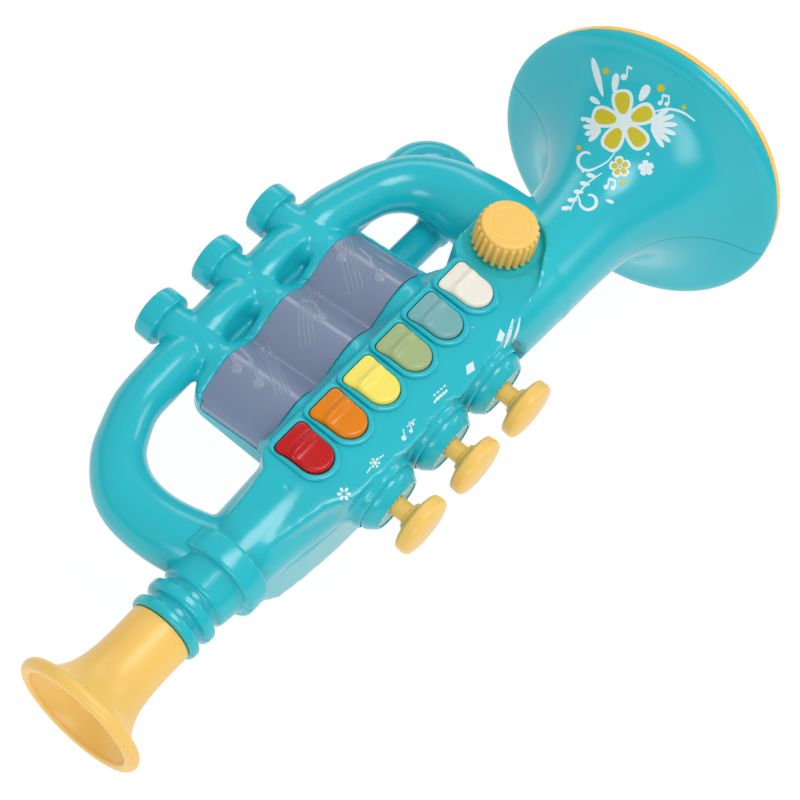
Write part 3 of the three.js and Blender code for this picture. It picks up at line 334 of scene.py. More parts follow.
loop = {
    "startX": 70.8, "endX": 264.5, "y": 73, "radius": 10.8,
    "shares": [
        (0.07, -0.06, 1.16), (0.024, 0.19, 1.2), (0.004, 0.45, 1.14), (0.014, 0.645, 1.1), (0.06, 0.81, 0.96),
        (0.115, 0.895, 0.88), (0.165, 0.945, 0.86), (0.24, 0.965, 0.88), (0.42, 0.985, 0.93), (0.6, 1, 0.97),
        (0.7, 1.005, 1), (0.77, 0.99, 1), (0.83, 0.955, 1), (0.9, 0.9, 1.01), (0.96, 0.78, 1.14),
        (0.992, 0.61, 1.33), (1, 0.37, 1.57), (0.997, 0.03, 1.72),
    ],
}
caps = {
    "stubShape": [(57.5, 6.2), (60, 7.6), (63, 8.5), (67, 9.0), (72, 9.0), (78, 9.1), (85, 8.5)],
    "radius": 11.1, "stub": 8.5, "inner": 85.3, "outer": 93.97, "lean": 0.027, "root": 6, "rootGap": 0.3,
    "round": 2.2, "face": [(0, 3.4), (0.35, 4.4)], "stubDrop": 3,
    "slotHalf": 13.5, "slotTaper": 0.8, "pinch": 0.17, "pinchReach": 6.5,
    "slot": [(61.5, 14), (68.6, 14), (66.8, 6), (65.8, 1), (65.2, -2.8), (61.5, -2.8)],
}
casing = {
    "startX": 119.5, "endX": 223.2, "lowY": 14, "highY": 62.6, "corner": 9, "smallCorner": 2.5,
    "refX": 171, "lean": 0.055, "valleyRound": 0.05, "valleyZ": 4.8, "crestZ": 14.0, "slope": 0.153, "refY": 25.5,
    "backValley": 9.5, "backCrest": 14.5,
    "stripStartY": 1.9, "stripTopY": 18.5, "stripLowY": 25, "stripLowZ": 6.5,
}
window = {
    "corner": 2.4, "side": 1.7, "lowY": 24.8, "highY": 57.6, "sink": 0.6, "thickness": 1.6, "ledge": 1.4,
    "gap": 0.3, "floorZ": -7.3,
}
bow = {
    "z": -17, "radius": 7.1, "sleeve": 8.2, "legY": 42.5, "bend": 14.2,
    "startX": 206, "sleeveX": 254, "bendX": 272.5,
}
belly = {
    "startX": 80, "endX": 153, "halfWidth": 18, "bottomZ": -33, "topZ": -5, "nose": 0.17, "brow": 0.3,
    "chin": (0.35, 0.72),
    "shares": [(0, 0.5), (0.06, 0.66), (0.17, 0.76), (0.34, 0.87), (0.55, 0.96), (0.78, 1), (0.96, 1), (1, 0.9)],
    "doorX": (92.2, 151.4), "doorHalf": 12.9, "doorDepth": 1.9,
    "bayX": (100.5, 149.6), "bayHalf": 11, "bayTop": -18.3,
}
stage = {
    "radius": 15.9, "lipY": -23.0, "y": -20.3, "depth": 9, "hole": 8.2, "scoop": 19.0, "scoopY": -19.4,
    "gap": 0.35, "openY": -60,
}
dish = {"radius": 16.4, "depth": 1.1}
mould = {"voxel": 0.96, "passes": 6, "seam": 0.14, "spanX": (-10, 400), "spanY": (-90, 120), "spanZ": 90}
ramp = {"low": (82, -24, 3), "high": (121, 17, 40), "margin": 6.0, "passes": 16}


def bellShift(points):
    # how far along the horn the bell's lean moves each point
    return bell["leanY"] * (points[..., 1] - bell["axisY"]) + bell["leanZ"] * points[..., 2]


def onBell(name, profile, sides=bell["sides"]):
    return turned(name, profile, "x", sides, (0, bell["axisY"], 0), True)


def atValve(name, x, profile, sides=96):
    return turned(name, profile, "y", sides, (x, 0, 0))


def wave(x):
    low, high = valveXs[0] - valves["pitch"] / 2, valveXs[-1] + valves["pitch"] / 2
    held = min(max(x, low), high)
    soft = casing["valleyRound"]
    height = sqrt(cos((held - valveXs[0]) / valves["pitch"] * pi) ** 2 * (1 - soft) + soft)
    return (height - sqrt(soft)) / (1 - sqrt(soft))


def frontZ(x, y, sink=0.0):
    # the wave's height in the casing's own straight frame
    rise = casing["valleyZ"] + wave(x) * (casing["crestZ"] - casing["valleyZ"])
    return rise - sink - casing["slope"] * (y - casing["refY"])


def backZ(x):
    return -casing["backValley"] - wave(x) * (casing["backCrest"] - casing["backValley"])


def leanY(x, y, sign=1):
    # the casing's lean, or with -1 the way back to its straight frame
    return y + sign * casing["lean"] * (x - casing["refX"])


def waveSlab(name, lowY, highY, sink, floor, x=(118, 225)):
    # all under the front wave, down to a floor, leaning with the casing
    rings, ys = [], np.linspace(lowY, highY, 12)
    for at in np.linspace(*x, 150):
        bottom = floor(at) if callable(floor) else floor
        ring = [(at, leanY(at, y), frontZ(at, y, sink)) for y in ys]
        rings.append(ring + [(at, leanY(at, y), bottom) for y in ys[::-1]])
    return loft(name, rings)


def casingPlan(name, inset, lowY, highY, lowZ=-20, highZ=20, corner=casing["corner"]):
    startX, endX, small = casing["startX"] + inset, casing["endX"] - inset, casing["smallCorner"]
    outline = [(startX, lowY), (endX, lowY), *arc(endX - small, highY - small, small, 0, 90),
               *arc(startX + corner, highY - corner, corner, 90, 180)]
    return prism(name, [(x, leanY(x, y)) for x, y in outline], lowZ, highZ)


def keyOutline(grow, x=0.0):
    k = keys
    end, flare, top = k["endRadius"] + grow, k["flare"] + grow, k["topY"] + grow
    shoulder = (k["ridgeY"] + k["topY"]) / 2

    def bezier(*points):
        out = []
        for t in np.linspace(0, 1, 9, endpoint=False):
            blend = [np.array(p, float) for p in points]
            while len(blend) > 1:
                blend = [a * (1 - t) + b * t for a, b in zip(blend, blend[1:])]
            out.append(tuple(blend[0]))
        return out

    right = bezier((end, k["endY"]), (end, k["ridgeY"] - k["ridgeHalf"]), (end, k["ridgeY"]), (flare, shoulder))
    right += bezier((flare, shoulder), (flare + k["bulge"], top), (k["shoulder"], top)) + [(k["shoulder"], top)]
    left = [(-x, y) for x, y in reversed(right)]
    return np.array(arc(0, k["endY"], end, 180, 360, 20)[:-1] + right + left[:-1]) + [x, 0]


def bezelOutline(x):
    half, top, corner = bezel["halfWidth"], bezel["topY"], bezel["corner"]
    return [*arc(x, bezel["endY"], half, 180, 360, 24), *arc(x + half - corner, top - corner, corner, 0, 90, 8),
            *arc(x - half + corner, top - corner, corner, 90, 180, 8)]


def panelPlan():
    start, length, half = panel["startX"], panel["endX"] - panel["startX"], panel["halfWidth"]
    return [(start + along * length, across * half) for along, across in panel["shares"]]


def panelBlock():
    start, end, top = panel["startX"] - 1, panel["endX"] + 1, panel["topZ"]
    low = top - panel["depth"] - 1
    side = [(start, low), (end, low), (end, top + 0.01), (panel["rampX"], top + 0.01), (start, panel["startZ"])]
    return common(prism("panel", panelPlan(), low + 1, top), prism("side", side, -40, 40, "y"))


def bellySolid():
    b, slack = belly, 0.01
    start, end, (chinX, chinZ) = b["startX"], b["endX"] + slack, b["chin"]
    length, depth = b["endX"] - start, b["topZ"] - b["bottomZ"]
    half = [(start + a * length, w * b["halfWidth"]) for a, w in b["shares"]]
    noseX = start + b["nose"] * length
    side = [(start - slack, b["topZ"] + 1), (start - slack, b["topZ"] - b["brow"] * depth),
            (start + chinX * (noseX - start), b["topZ"] - chinZ * depth), (noseX, b["bottomZ"] - slack),
            (end, b["bottomZ"] - slack), (end, b["topZ"] + 1)]
    return common(prism("belly", half + [(x, -y) for x, y in reversed(half)], b["bottomZ"], b["topZ"]),
                  prism("side", side, -30, 30, "y"))


def loopStations():
    # the loop is pinched where the valves cross it, so that each pair of tubes meets in an X
    length = loop["endX"] - loop["startX"]
    stations = curveThrough([(loop["startX"] + along * length, height * loop["y"], girth * loop["radius"])
                             for along, height, girth in loop["shares"]], 10)
    for x in valveXs:
        near = np.exp(-((stations[:, 0] - x) / caps["pinchReach"]) ** 2) * (stations[:, 1] > casing["highY"])
        stations[:, 2] *= 1 - caps["pinch"] * near
    return stations


def bowSolids():
    b = bow
    farY = b["legY"] + 2 * b["bend"]
    bend = [(b["bendX"] + cos(turn) * b["bend"], b["legY"] + b["bend"] + sin(turn) * b["bend"], b["sleeve"])
            for turn in np.linspace(-pi / 2, pi / 2, 9)]
    stations = [(b["sleeveX"], b["legY"], b["sleeve"]), *bend, (b["sleeveX"], farY, b["sleeve"])]
    return [tube("bow", stations, 6, 48, b["z"])] + [
        turned("leg", stepped(b["startX"], b["radius"], b["bendX"]), "x", 48, (0, y, b["z"]))
        for y in (b["legY"], farY)
    ]


def bellOutside():
    return curveThrough(bell["profile"], 8)


def easeRamp(horn):
    # where the panel runs out into the round body, the mould is smoother still
    points = vertexArray(horn.data)
    inside = np.minimum(points - ramp["low"], ramp["high"] - points).min(axis=1)
    depth = np.clip(inside / ramp["margin"], 0, 1)
    group = horn.vertex_groups.new(name="ramp")
    for i in np.where(depth > 0)[0]:
        group.add([int(i)], float(depth[i]), "REPLACE")
    smooth = horn.modifiers.new("smooth", "SMOOTH")
    smooth.factor, smooth.iterations, smooth.vertex_group = 0.5, ramp["passes"], "ramp"
    settle(horn)
    horn.vertex_groups.clear()


def makeHorn():
    horn = onBell("horn", bellOutside())
    join(horn, tube("body", body["stations"], 14, 96), tube("loop", loopStations(), 1, 80))
    cut(horn, prism("overPanel", panelPlan(), panel["topZ"], 40))
    join(horn, panelBlock())
    c = casing
    strip = [(c["stripStartY"], 0), (c["stripLowY"], 0), (c["stripLowY"], c["stripLowZ"]),
             (c["stripTopY"], panel["topZ"]), (c["stripStartY"], panel["topZ"])]
    join(horn, prism("strip", strip, c["startX"], c["endX"], "x"))
    join(horn, common(waveSlab("case", c["lowY"], c["highY"], 0, backZ),
                      casingPlan("plan", 0, c["lowY"] - 1, c["highY"])))
    for left, right in zip(valveXs, valveXs[1:]):
        # a deep valley between the casing and the loop, narrower towards its two ends
        near, rings = caps["slot"][0][0], []
        for share in np.linspace(-1, 1, 9):
            x = (left + right) / 2 + share * caps["slotHalf"]
            narrow = 1 - (1 - caps["slotTaper"]) * share * share
            rings.append([(x, leanY(x, near + (y - near) * narrow), z) for y, z in caps["slot"]])
        cut(horn, loft("valley", rings))
    for x in valveXs:
        top = caps["outer"] - caps["stubDrop"] + caps["lean"] * (x - c["refX"])
        join(horn, atValve("stub", x, [*caps["stubShape"], (top, caps["stub"])], 64))
        cut(horn, atValve("scoop", x, stepped(stage["openY"], stage["scoop"], stage["scoopY"]), 72))
        join(horn, atValve("stage", x, stepped(stage["lipY"], stage["radius"], stage["y"] + stage["depth"]), 72))
    join(horn, *bowSolids(), bellySolid())
    print("horn joined", len(horn.data.vertices))
    # the window's recess with its ledge, and the knob's dish, before the corners are softened
    w = window
    recess = common(waveSlab("recess", w["lowY"] - 1, w["highY"] + 1, -12, -20),
                    casingPlan("plan", w["side"], w["lowY"], w["highY"], corner=w["corner"]))
    low = w["sink"] + w["thickness"] + w["gap"]
    cut(recess, waveSlab("ledge", w["lowY"] - 3, w["highY"] + 3, low, -25, (117, 226)))
    well = casingPlan("well", w["side"] + w["ledge"], w["lowY"] + w["ledge"], w["highY"] - w["ledge"],
                      w["floorZ"], corner=w["corner"])
    hollow = stepped(panel["topZ"] - dish["depth"], dish["radius"], 40)
    cut(horn, recess, well, turned("dish", hollow, "z", 96, (knob["x"], knob["y"], 0)))
    soften(horn, mould["voxel"], mould["passes"])
    easeRamp(horn)
    print("horn softened", len(horn.data.vertices))
    return horn


# Materials. A hex colour as seen on a screen turned to Blender's linear one
def fromHex(code):
    parts = [int(code[i:i + 2], 16) / 255 for i in (0, 2, 4)]
    return tuple(c / 12.92 if c <= 0.04045 else ((c + 0.055) / 1.055) ** 2.4 for c in parts) + (1.0,)


def addNode(tree, kind, settings=None, links=None):
    # adds one node: settings are its options or socket values, links are socket to (node, output)
    node = tree.nodes.new(kind)
    for name, value in (settings or {}).items():
        if isinstance(name, int) or name in node.inputs:
            node.inputs[name].default_value = value
        else:
            setattr(node, name, value)
    for name, (source, output) in (links or {}).items():
        tree.links.new(source.outputs[output], node.inputs[name])
    return node


def newMaterial(name):
    material = bpy.data.materials.new(name)
    material.use_nodes = True
    tree = material.node_tree
    tree.nodes.clear()
    return material, tree, {"Vector": (addNode(tree, "ShaderNodeTexCoord"), "Object")}


def noise(tree, settings, links):
    return addNode(tree, "ShaderNodeTexNoise", settings, links), "Fac"


def surface(tree, gloss, glossFrom, relief, reliefFrom, settings, links):
    # what every material ends with: its gloss and relief from a pattern each, then the shader
    sheen = addNode(tree, "ShaderNodeMapRange", {"To Min": gloss[0], "To Max": gloss[1]}, {"Value": glossFrom})
    bump = addNode(tree, "ShaderNodeBump", {"Strength": relief[0], "Distance": relief[1] * mm},
                   {"Height": reliefFrom})
    shader = addNode(tree, "ShaderNodeBsdfPrincipled", settings,
                     {**links, "Roughness": (sheen, "Result"), "Normal": (bump, "Normal")})
    addNode(tree, "ShaderNodeOutputMaterial", None, {"Surface": (shader, "BSDF")})


def mouldedPlastic(name, colour, darker, roughness, dent=0.05, ior=1.53, **more):
    # an injection moulding: slow drifts of colour and gloss where the melt flowed, and a fine skin
    material, tree, place = newMaterial(name)
    flow = noise(tree, {"Scale": 22.0, "Detail": 3.0, "Roughness": 0.5}, place)
    skin = noise(tree, {"Scale": 1 / (0.35 * mm), "Detail": 2.0, "Roughness": 0.6}, place)
    tint = addNode(tree, "ShaderNodeValToRGB", None, {"Fac": flow})
    for stop, at, code in zip(tint.color_ramp.elements, (0.3, 0.7), (darker, colour)):
        stop.position, stop.color = at, fromHex(code)
    surface(tree, (roughness * 0.85, roughness * 1.15), skin, (0.35, dent), skin, {"IOR": ior, **more},
            {"Base Color": (tint, "Color")})
    return material


def smokyStyrene(name, colour, frost, roughness, matt):
    # clear styrene with a smoky blue dye: glossy from the polished mould, with matt engraved lines
    material, tree, place = newMaterial(name)
    cloud = noise(tree, {"Scale": 30.0, "Detail": 2.0}, place)
    engraved = addNode(tree, "ShaderNodeAttribute", {"attribute_name": "frosted"}), "Fac"
    tint = addNode(tree, "ShaderNodeMixRGB", {"Color1": fromHex(colour), "Color2": fromHex(frost)},
                   {"Fac": engraved})
    surface(tree, (roughness, matt), engraved, (0.15, 0.2), cloud, {"IOR": 1.59, "Transmission Weight": 0.5},
            {"Base Color": (tint, "Color")})
    return material


def rolledMetal(name, colour, roughness):
    # plated sheet, drawn through rollers along X
    material, tree, place = newMaterial(name)
    stretch = addNode(tree, "ShaderNodeMapping", {"Scale": (120.0, 2600.0, 2600.0)}, place)
    lines = noise(tree, {"Scale": 1.0, "Detail": 2.0}, {"Vector": (stretch, "Vector")})
    surface(tree, (roughness * 0.7, roughness * 1.3), lines, (0.2, 0.02), lines,
            {"Base Color": fromHex(colour), "Metallic": 1.0}, {})
    return material


# the teal comes from a polished mould, with soft-edged streaks; the yellow is duller, with a broad soft sheen
teal = mouldedPlastic("glossy ABS teal", "1FC0CE", "1CBAC9", 0.19)
yellow = mouldedPlastic("satin ABS pale yellow", "FDD06C", "F9C965", 0.33)
keyFinishes = [
    mouldedPlastic("glossy ABS " + name, colour, darker, 0.24, ior=1.42)
    for name, colour, darker in zip(keys["names"], keys["colours"], keys["shades"])
]
# the inks lie flat and a little duller than the shell
paleInk = mouldedPlastic("pale pad-printing ink", "E2F1F4", "D9ECF0", 0.38, 0.02)
goldInk = mouldedPlastic("gold pad-printing ink", "D2C41E", "C9BA18", 0.38, 0.02)
smoke = smokyStyrene("smoky styrene window", "A9B9D8", "C0CBE2", 0.16, 0.34)
reflector = mouldedPlastic("white reflector styrene", "F2F2EE", "E4E4DE", 0.4)
siliconeRubber = mouldedPlastic("milky silicone", "D8D8D2", "CACAC2", 0.6)
boardFinish = mouldedPlastic("green solder mask", "2C7A4B", "256B41", 0.35)
blackAbs = mouldedPlastic("black ABS", "2A2C2E", "222426", 0.4)
cellSleeve = mouldedPlastic("shrink sleeve", "2F3A40", "283238", 0.3)
zincSteel = rolledMetal("zinc-plated steel", "C9CCD0", 0.3)


def finish(piece, material, body, slotName, *replaced):
    # gives a piece its material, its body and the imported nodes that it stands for
    piece.data.materials.clear()
    piece.data.materials.append(material)
    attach(piece, body)
    if replaced:
        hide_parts(*replaced)
    return piece


def trueBell(horn):
    # brings the softened bell back to its turned profile, from nothing at the throat to all of it at the flare
    points = vertexArray(horn.data)
    shift = bellShift(points)
    along, across = points[:, 0] - shift, points[:, 1] - bell["axisY"]
    radius = np.hypot(across, points[:, 2])
    chosen = np.where((along > bell["trueFrom"]) & (radius > bell["trueRadius"]))[0]
    p = np.c_[along[chosen], radius[chosen]]
    best, bestDistance = p.copy(), np.full(len(p), 9.0)
    profile = bellOutside()
    for start, end in zip(profile, profile[1:]):
        near, distance = nearest(p, start, end)
        better = distance < bestDistance
        best[better], bestDistance[better] = near[better], distance[better]
    weight = np.clip((p[:, 0] - bell["trueFrom"]) / bell["trueOver"], 0, 1) * (bestDistance < bell["trueReach"])
    p = p + (best - p) * weight[:, None]
    scale = p[:, 1] / radius[chosen]
    points[chosen] = np.c_[p[:, 0] + shift[chosen], bell["axisY"] + across[chosen] * scale,
                           points[chosen, 2] * scale]
    setVertices(horn.data, points)


def nearest(points, start, end):
    # the nearest place on a segment to each point, and how far it is
    start, edge = np.array(start), np.array(end) - np.array(start)
    share = np.clip(((points - start) @ edge) / (edge @ edge), 0, 1)
    near = start + share[:, None] * edge
    return near, np.linalg.norm(points - near, axis=1)


def bellHollow():
    # the flare's inner face: the outer one brought in by the wall, less at the rim
    throat, wall, shelf = bell["profile"][0][1], bell["wall"], bell["shelf"]
    inner = []
    for x, radius in bellOutside():
        growth = (radius - throat) / (bell["radius"] - throat)
        inside = (x + wall * growth, radius - wall * (1 - growth * bell["thinning"]))
        if shelf < inside[0] < bell["face"] and inside[1] < bell["radius"] - 2 * wall:
            inner.append(inside)
    lip = bell["radius"] - wall
    start = (shelf, inner[0][1] - bell["shelfStep"])
    return onBell("bellHollow", [start, *inner, (bell["face"], lip), (bell["front"], lip)])


def neckParts():
    n = neck
    profile, sizes = [(n["start"], 0)], [0]
    step = n["ringLength"] + n["grooveLength"]
    for start in (n["start"], n["start"] + step):
        end = start + n["ringLength"]
        foot = end + n["grooveLength"] * n["footShare"]
        profile += stepped(start, n["ringRadius"], end, n["grooveRadius"], foot)
        sizes += [1.9, 1.9, 0.9, 0.9]
    collarEnd = n["collarX"] + n["collarLength"]
    rootEnd = collarEnd + n["root"]
    profile += [(n["start"] + 2 * step, n["bandRadius"]), (n["collarX"], body["stations"][0][2]),
                *stepped(n["collarX"], n["collarRadius"], collarEnd), (collarEnd, n["endRadius"]),
                (rootEnd, n["rootRadius"])]
    return turned("neck", eased([*profile, (rootEnd, 0)], sizes + [1.2, 0.9, 1.7, 1.7, 0.9, 0]), "x", 128,
                  (0, n["axisY"], 0))


def capPart(x):
    shift, foot = caps["lean"] * (x - casing["refX"]), caps["stub"] - caps["rootGap"]
    inner, outer, radius = caps["inner"] + shift, caps["outer"] + shift, caps["radius"]
    face, root = [(outer - sink, radius - inset) for sink, inset in caps["face"]], inner - caps["root"]
    profile = [(root, 0), *stepped(root, foot, inner, radius, outer), *face, (face[-1][0], 0)]
    return atValve("cap", x, eased(profile, [0, 0, 0.7, 1.6, caps["round"], 0.5, 0.6, 0]))


def keyHole(x):
    return moulded("keyHole", keyOutline(keys["gap"], x), keys["bottomZ"] - 4, bezel["topZ"], keys["holeRound"],
                   keys["holeFlare"])


roomInside = {
    "wall": 2.8, "boardX": (114.8, 258.8), "boardY": (-12.6, 15.2), "boardZ": (5.5, 13.4), "flange": 1.6,
    "roof": 15.1, "underRoof": 14.4, "sideX": (118, 226), "sideY": -16.6, "span": (60, 300), "half": 40,
}


def hollows():
    # the room inside, so that the keys, pistons, cells and boards have their places
    r, half = roomInside, roomInside["half"]
    tubeRoom = tube("bodyRoom", [(x, y, radius - r["wall"]) for x, y, radius in body["stations"]], 6, 48)
    cut(tubeRoom, block("over", r["span"], (-half, half), (r["underRoof"], half)),
        block("beside", r["sideX"], (-half, r["sideY"]), (-half, half)))
    flange = offset(keyOutline(0.0), r["flange"])
    return [tubeRoom, block("boardRoom", r["boardX"], r["boardY"], r["boardZ"]),
            *[prism("flangeRoom", flange + [x, 0], r["boardZ"][0], r["roof"]) for x in keyXs]]


def splitHorn(horn):
    front = addObject("front_skin", horn.data.copy())
    common(front, block("half", mould["spanX"], mould["spanY"], (mould["seam"], mould["spanZ"])))
    common(horn, block("half", mould["spanX"], mould["spanY"], (-mould["spanZ"], -mould["seam"])))
    return rename(front, "front_skin"), rename(horn, "back_skin")


dimples = {"spots": [(107.7, 1.9), (208.4, -6.6), (171.1, 73.6), (286.2, 57.9)], "ball": 2.6, "depth": 0.5}


def cutDimples(horn):
    # the shallow round dents that a mould's pins leave over the screw posts
    tree, ball = skinUnder([horn]), dimples["ball"]
    for x, y in dimples["spots"]:
        hit = tree.ray_cast(toWorld((x, y, 90)), Vector((0, 0, -1)))[0]
        z = (hit.z - hornOrigin[2]) / mm - dimples["depth"] + ball
        dent = [(z - cos(t) * ball, sin(t) * ball) for t in np.linspace(0, pi, 16)]
        cut(horn, turned("dimple", dent, "z", 32, (x, y, 0)))


def skinUnder(pieces):
    # the pieces' faces, to be struck by rays
    points, faces = [], []
    for piece in pieces:
        base = len(points)
        points += [v.co.copy() for v in piece.data.vertices]
        faces += [tuple(base + i for i in p.vertices) for p in piece.data.polygons]
    return BVHTree.FromPolygons(points, faces)


def dressHorn(horn):
    trueBell(horn)
    cutDimples(horn)
    join(horn, neckParts(), *[capPart(x) for x in valveXs])
    for x in keyXs:
        join(horn, moulded("bezel", bezelOutline(x), bezel["bottomZ"], bezel["topZ"], bezel["round"]))
    print("crisp parts on the horn", len(horn.data.vertices))
    cut(horn, bellHollow(), *hollows())
    cut(horn, *[keyHole(x) for x in keyXs])
    cut(horn, coverEnd("endNotch", cover["endGap"]))
    spindle = stepped(0, knob["boreRadius"], knob["spindleTop"])
    cut(horn, turned("spindleHole", spindle, "z", 48, (knob["x"], knob["y"], 0)))
    seat = stepped(-45, pistonCollar["radius"] + stage["gap"], stage["y"], stage["hole"],
                   stage["y"] + stage["depth"] + 1)
    cut(horn, *[atValve("seat", x, seat) for x in valveXs])
    socket = stepped(neck["start"] - 1, neck["socketRadius"], neck["start"] + neck["socketDepth"])
    speakerHole = stepped(bell["cavityBack"], bell["cavity"], bell["shelfBack"], bell["hole"], bell["shelf"] + 1)
    b = belly
    under = b["bottomZ"] - 1
    cut(horn, turned("socket", socket, "x", 96, (0, neck["axisY"], 0)),
        block("doorRecess", b["doorX"], (-b["doorHalf"], b["doorHalf"]), (under, b["bottomZ"] + b["doorDepth"])),
        block("bay", b["bayX"], (-b["bayHalf"], b["bayHalf"]), (under, b["bayTop"])),
        onBell("speakerHole", speakerHole, 96))
    print("openings cut", len(horn.data.vertices))
    return horn


# a piston's collar and its button
pistonCollar = {
    "radius": 14.4, "neckRadius": 12.6, "neckY": -21.6, "bandY": -24.6, "faceRadius": 11.4, "faceY": -28.6,
    "lip": 1.0, "recess": 0.6, "bore": 4.2, "spigot": 7.9, "innerY": -15.1, "backY": -20.6,
    "round": [0, 0, 0.3, 0, 0.5, 0.8, 1.3, 0.9, 0.35, 0.2, 0.4, 0],
}
piston = {
    "stem": 3.9, "ringY": -14.8, "ringWidth": 1.6, "endY": -12.0, "ring": 6.0,
    "head": [(-34.1, 5.5), (-35.3, 5.9), (-36.5, 10.6), (-37.4, 12.3), (-41.4, 12.6), (-42.9, 11.7), (-43.9, 8.6),
             (-44.5, 3), (-44.6, 0)],
    "round": [0, 0.8, 0, 0.3, 0.3, 0, 0.4, 0.4, 0.7, 1.4, 0.9, 1.0, 1.2, 2, 2, 0],
}


def makeCollar(i, x):
    c = pistonCollar
    start, face, lip = (c["innerY"], c["bore"]), c["faceY"] + c["recess"], c["faceRadius"] - c["lip"]
    back = stepped(c["innerY"], c["spigot"], c["backY"], c["neckRadius"], c["neckY"], c["radius"], c["bandY"])
    front = [(c["faceY"], c["faceRadius"]), *stepped(c["faceY"], lip, face), (face, c["bore"])]
    return atValve("collar_%d" % i, x, eased([start, *back, *front, start], c["round"]), 128)


def makePiston(i, x):
    p = piston
    rod = stepped(p["endY"], p["stem"], p["ringY"] + p["ringWidth"], p["ring"], p["ringY"], p["stem"],
                  p["head"][0][0])
    return atValve("button_%d" % i, x, eased([(p["endY"], 0), *rod, *p["head"]], p["round"]), 128)


# the mouthpiece: a flared cup on a spigot, with a thick round lip
mouthpiece = {
    "axisY": 2.3, "radius": 26.2, "lip": 2.6, "shankEnd": 42.9, "shank": 12.7, "spigot": 9.6, "spigotEnd": 56.9,
    "bore": 7.6, "lipTurns": (0.35, 2.45),
    "outer": [(0.14, 0.73), (0.22, 0.42), (0.35, 0.17), (0.52, 0.04), (0.72, 0), (1, 0.01)],
    "cup": [(1, 0.03), (0.7, 0.13), (0.49, 0.17), (0.33, 0.29), (0.21, 0.48), (0.12, 0.71), (0.045, 0.86)],
}


def makeMouthpiece():
    m = mouthpiece
    centre, lip = m["radius"] - m["lip"], m["lip"]

    def shaped(shares, least):
        return [(a * m["shankEnd"], least + g * (centre - least)) for a, g in reversed(shares)]

    rolled = [(lip + cos(s * pi / 2) * lip, centre + sin(s * pi / 2) * lip)
              for s in np.linspace(*m["lipTurns"], 12)]
    skin = curveThrough([*shaped(m["outer"], m["shank"]), *rolled, *shaped(m["cup"], m["bore"])], 4)
    end = (m["spigotEnd"], m["bore"])
    profile = [end, *stepped(m["spigotEnd"], m["spigot"], m["shankEnd"]), *skin, end]
    sizes = [0, 0.6, 0.2, 0.5] + [0] * len(skin)
    return turned("mouthpiece_skin", eased(profile, sizes), "x", 160, (0, m["axisY"], 0))


rimRing = {"back": 334.1, "front": 337.0, "outer": 64.8, "inner": 53.8, "round": 1.1, "bevel": 1.2, "inset": 0.4}


def makeRim():
    r = rimRing
    start = (r["back"], r["inner"] + r["bevel"])
    profile = [start, *stepped(r["back"], r["outer"], r["front"]), (r["front"], r["inner"]),
               (r["front"] - r["bevel"], r["inner"] - r["inset"]), start]
    return onBell("rim_ring", eased(profile, [0, 0.5, r["round"], 0.7, 0.4, 0]), 256)


keyTop = {
    "edge": 1.3, "voxel": 0.34, "passes": 4, "humpY": 8.6, "humpLength": 1.75, "ramp": 0.9, "crown": 0.25,
    "sideFade": 0.6, "reach": 2.6, "flange": 1.2, "flangeThickness": 1.6, "underPanel": 2.5, "wall": 1.8,
    "roof": 3.2,
}


def makeKey(i, x):
    # a key's cap over the flange that the skin holds in; its finger hump is raised on the fine mesh
    k, t = keys, keyTop
    cap = moulded("key", keyOutline(0.0, x), k["bottomZ"], k["topZ"], t["edge"])
    soften(cap, t["voxel"], t["passes"])
    points = vertexArray(cap.data)
    across, past = np.clip(np.abs(points[:, 0] - x) / k["endRadius"], 0, 1), points[:, 1] - t["humpY"]
    hump = (k["ridgeZ"] - k["topZ"]) * np.exp(-(past / t["humpLength"]) ** 2) * (1 - t["sideFade"] * across ** 3)
    slope = -t["ramp"] * np.clip(past / (k["topY"] - t["humpY"]), 0, 1.1) ** 0.8
    crown = -t["crown"] * across ** 2
    share = np.clip((points[:, 2] - k["topZ"] + t["reach"]) / t["reach"], 0, 1)
    points[:, 2] += share * (hump + slope + crown)
    setVertices(cap.data, points)
    flangeTop = panel["topZ"] - t["underPanel"]
    join(cap, prism("flange", keyOutline(t["flange"], x), flangeTop - t["flangeThickness"], flangeTop))
    cut(cap, prism("inside", keyOutline(-t["wall"], x), k["bottomZ"] - 1, k["topZ"] - t["roof"]))
    return rename(cap, "cap_" + k["names"][i])


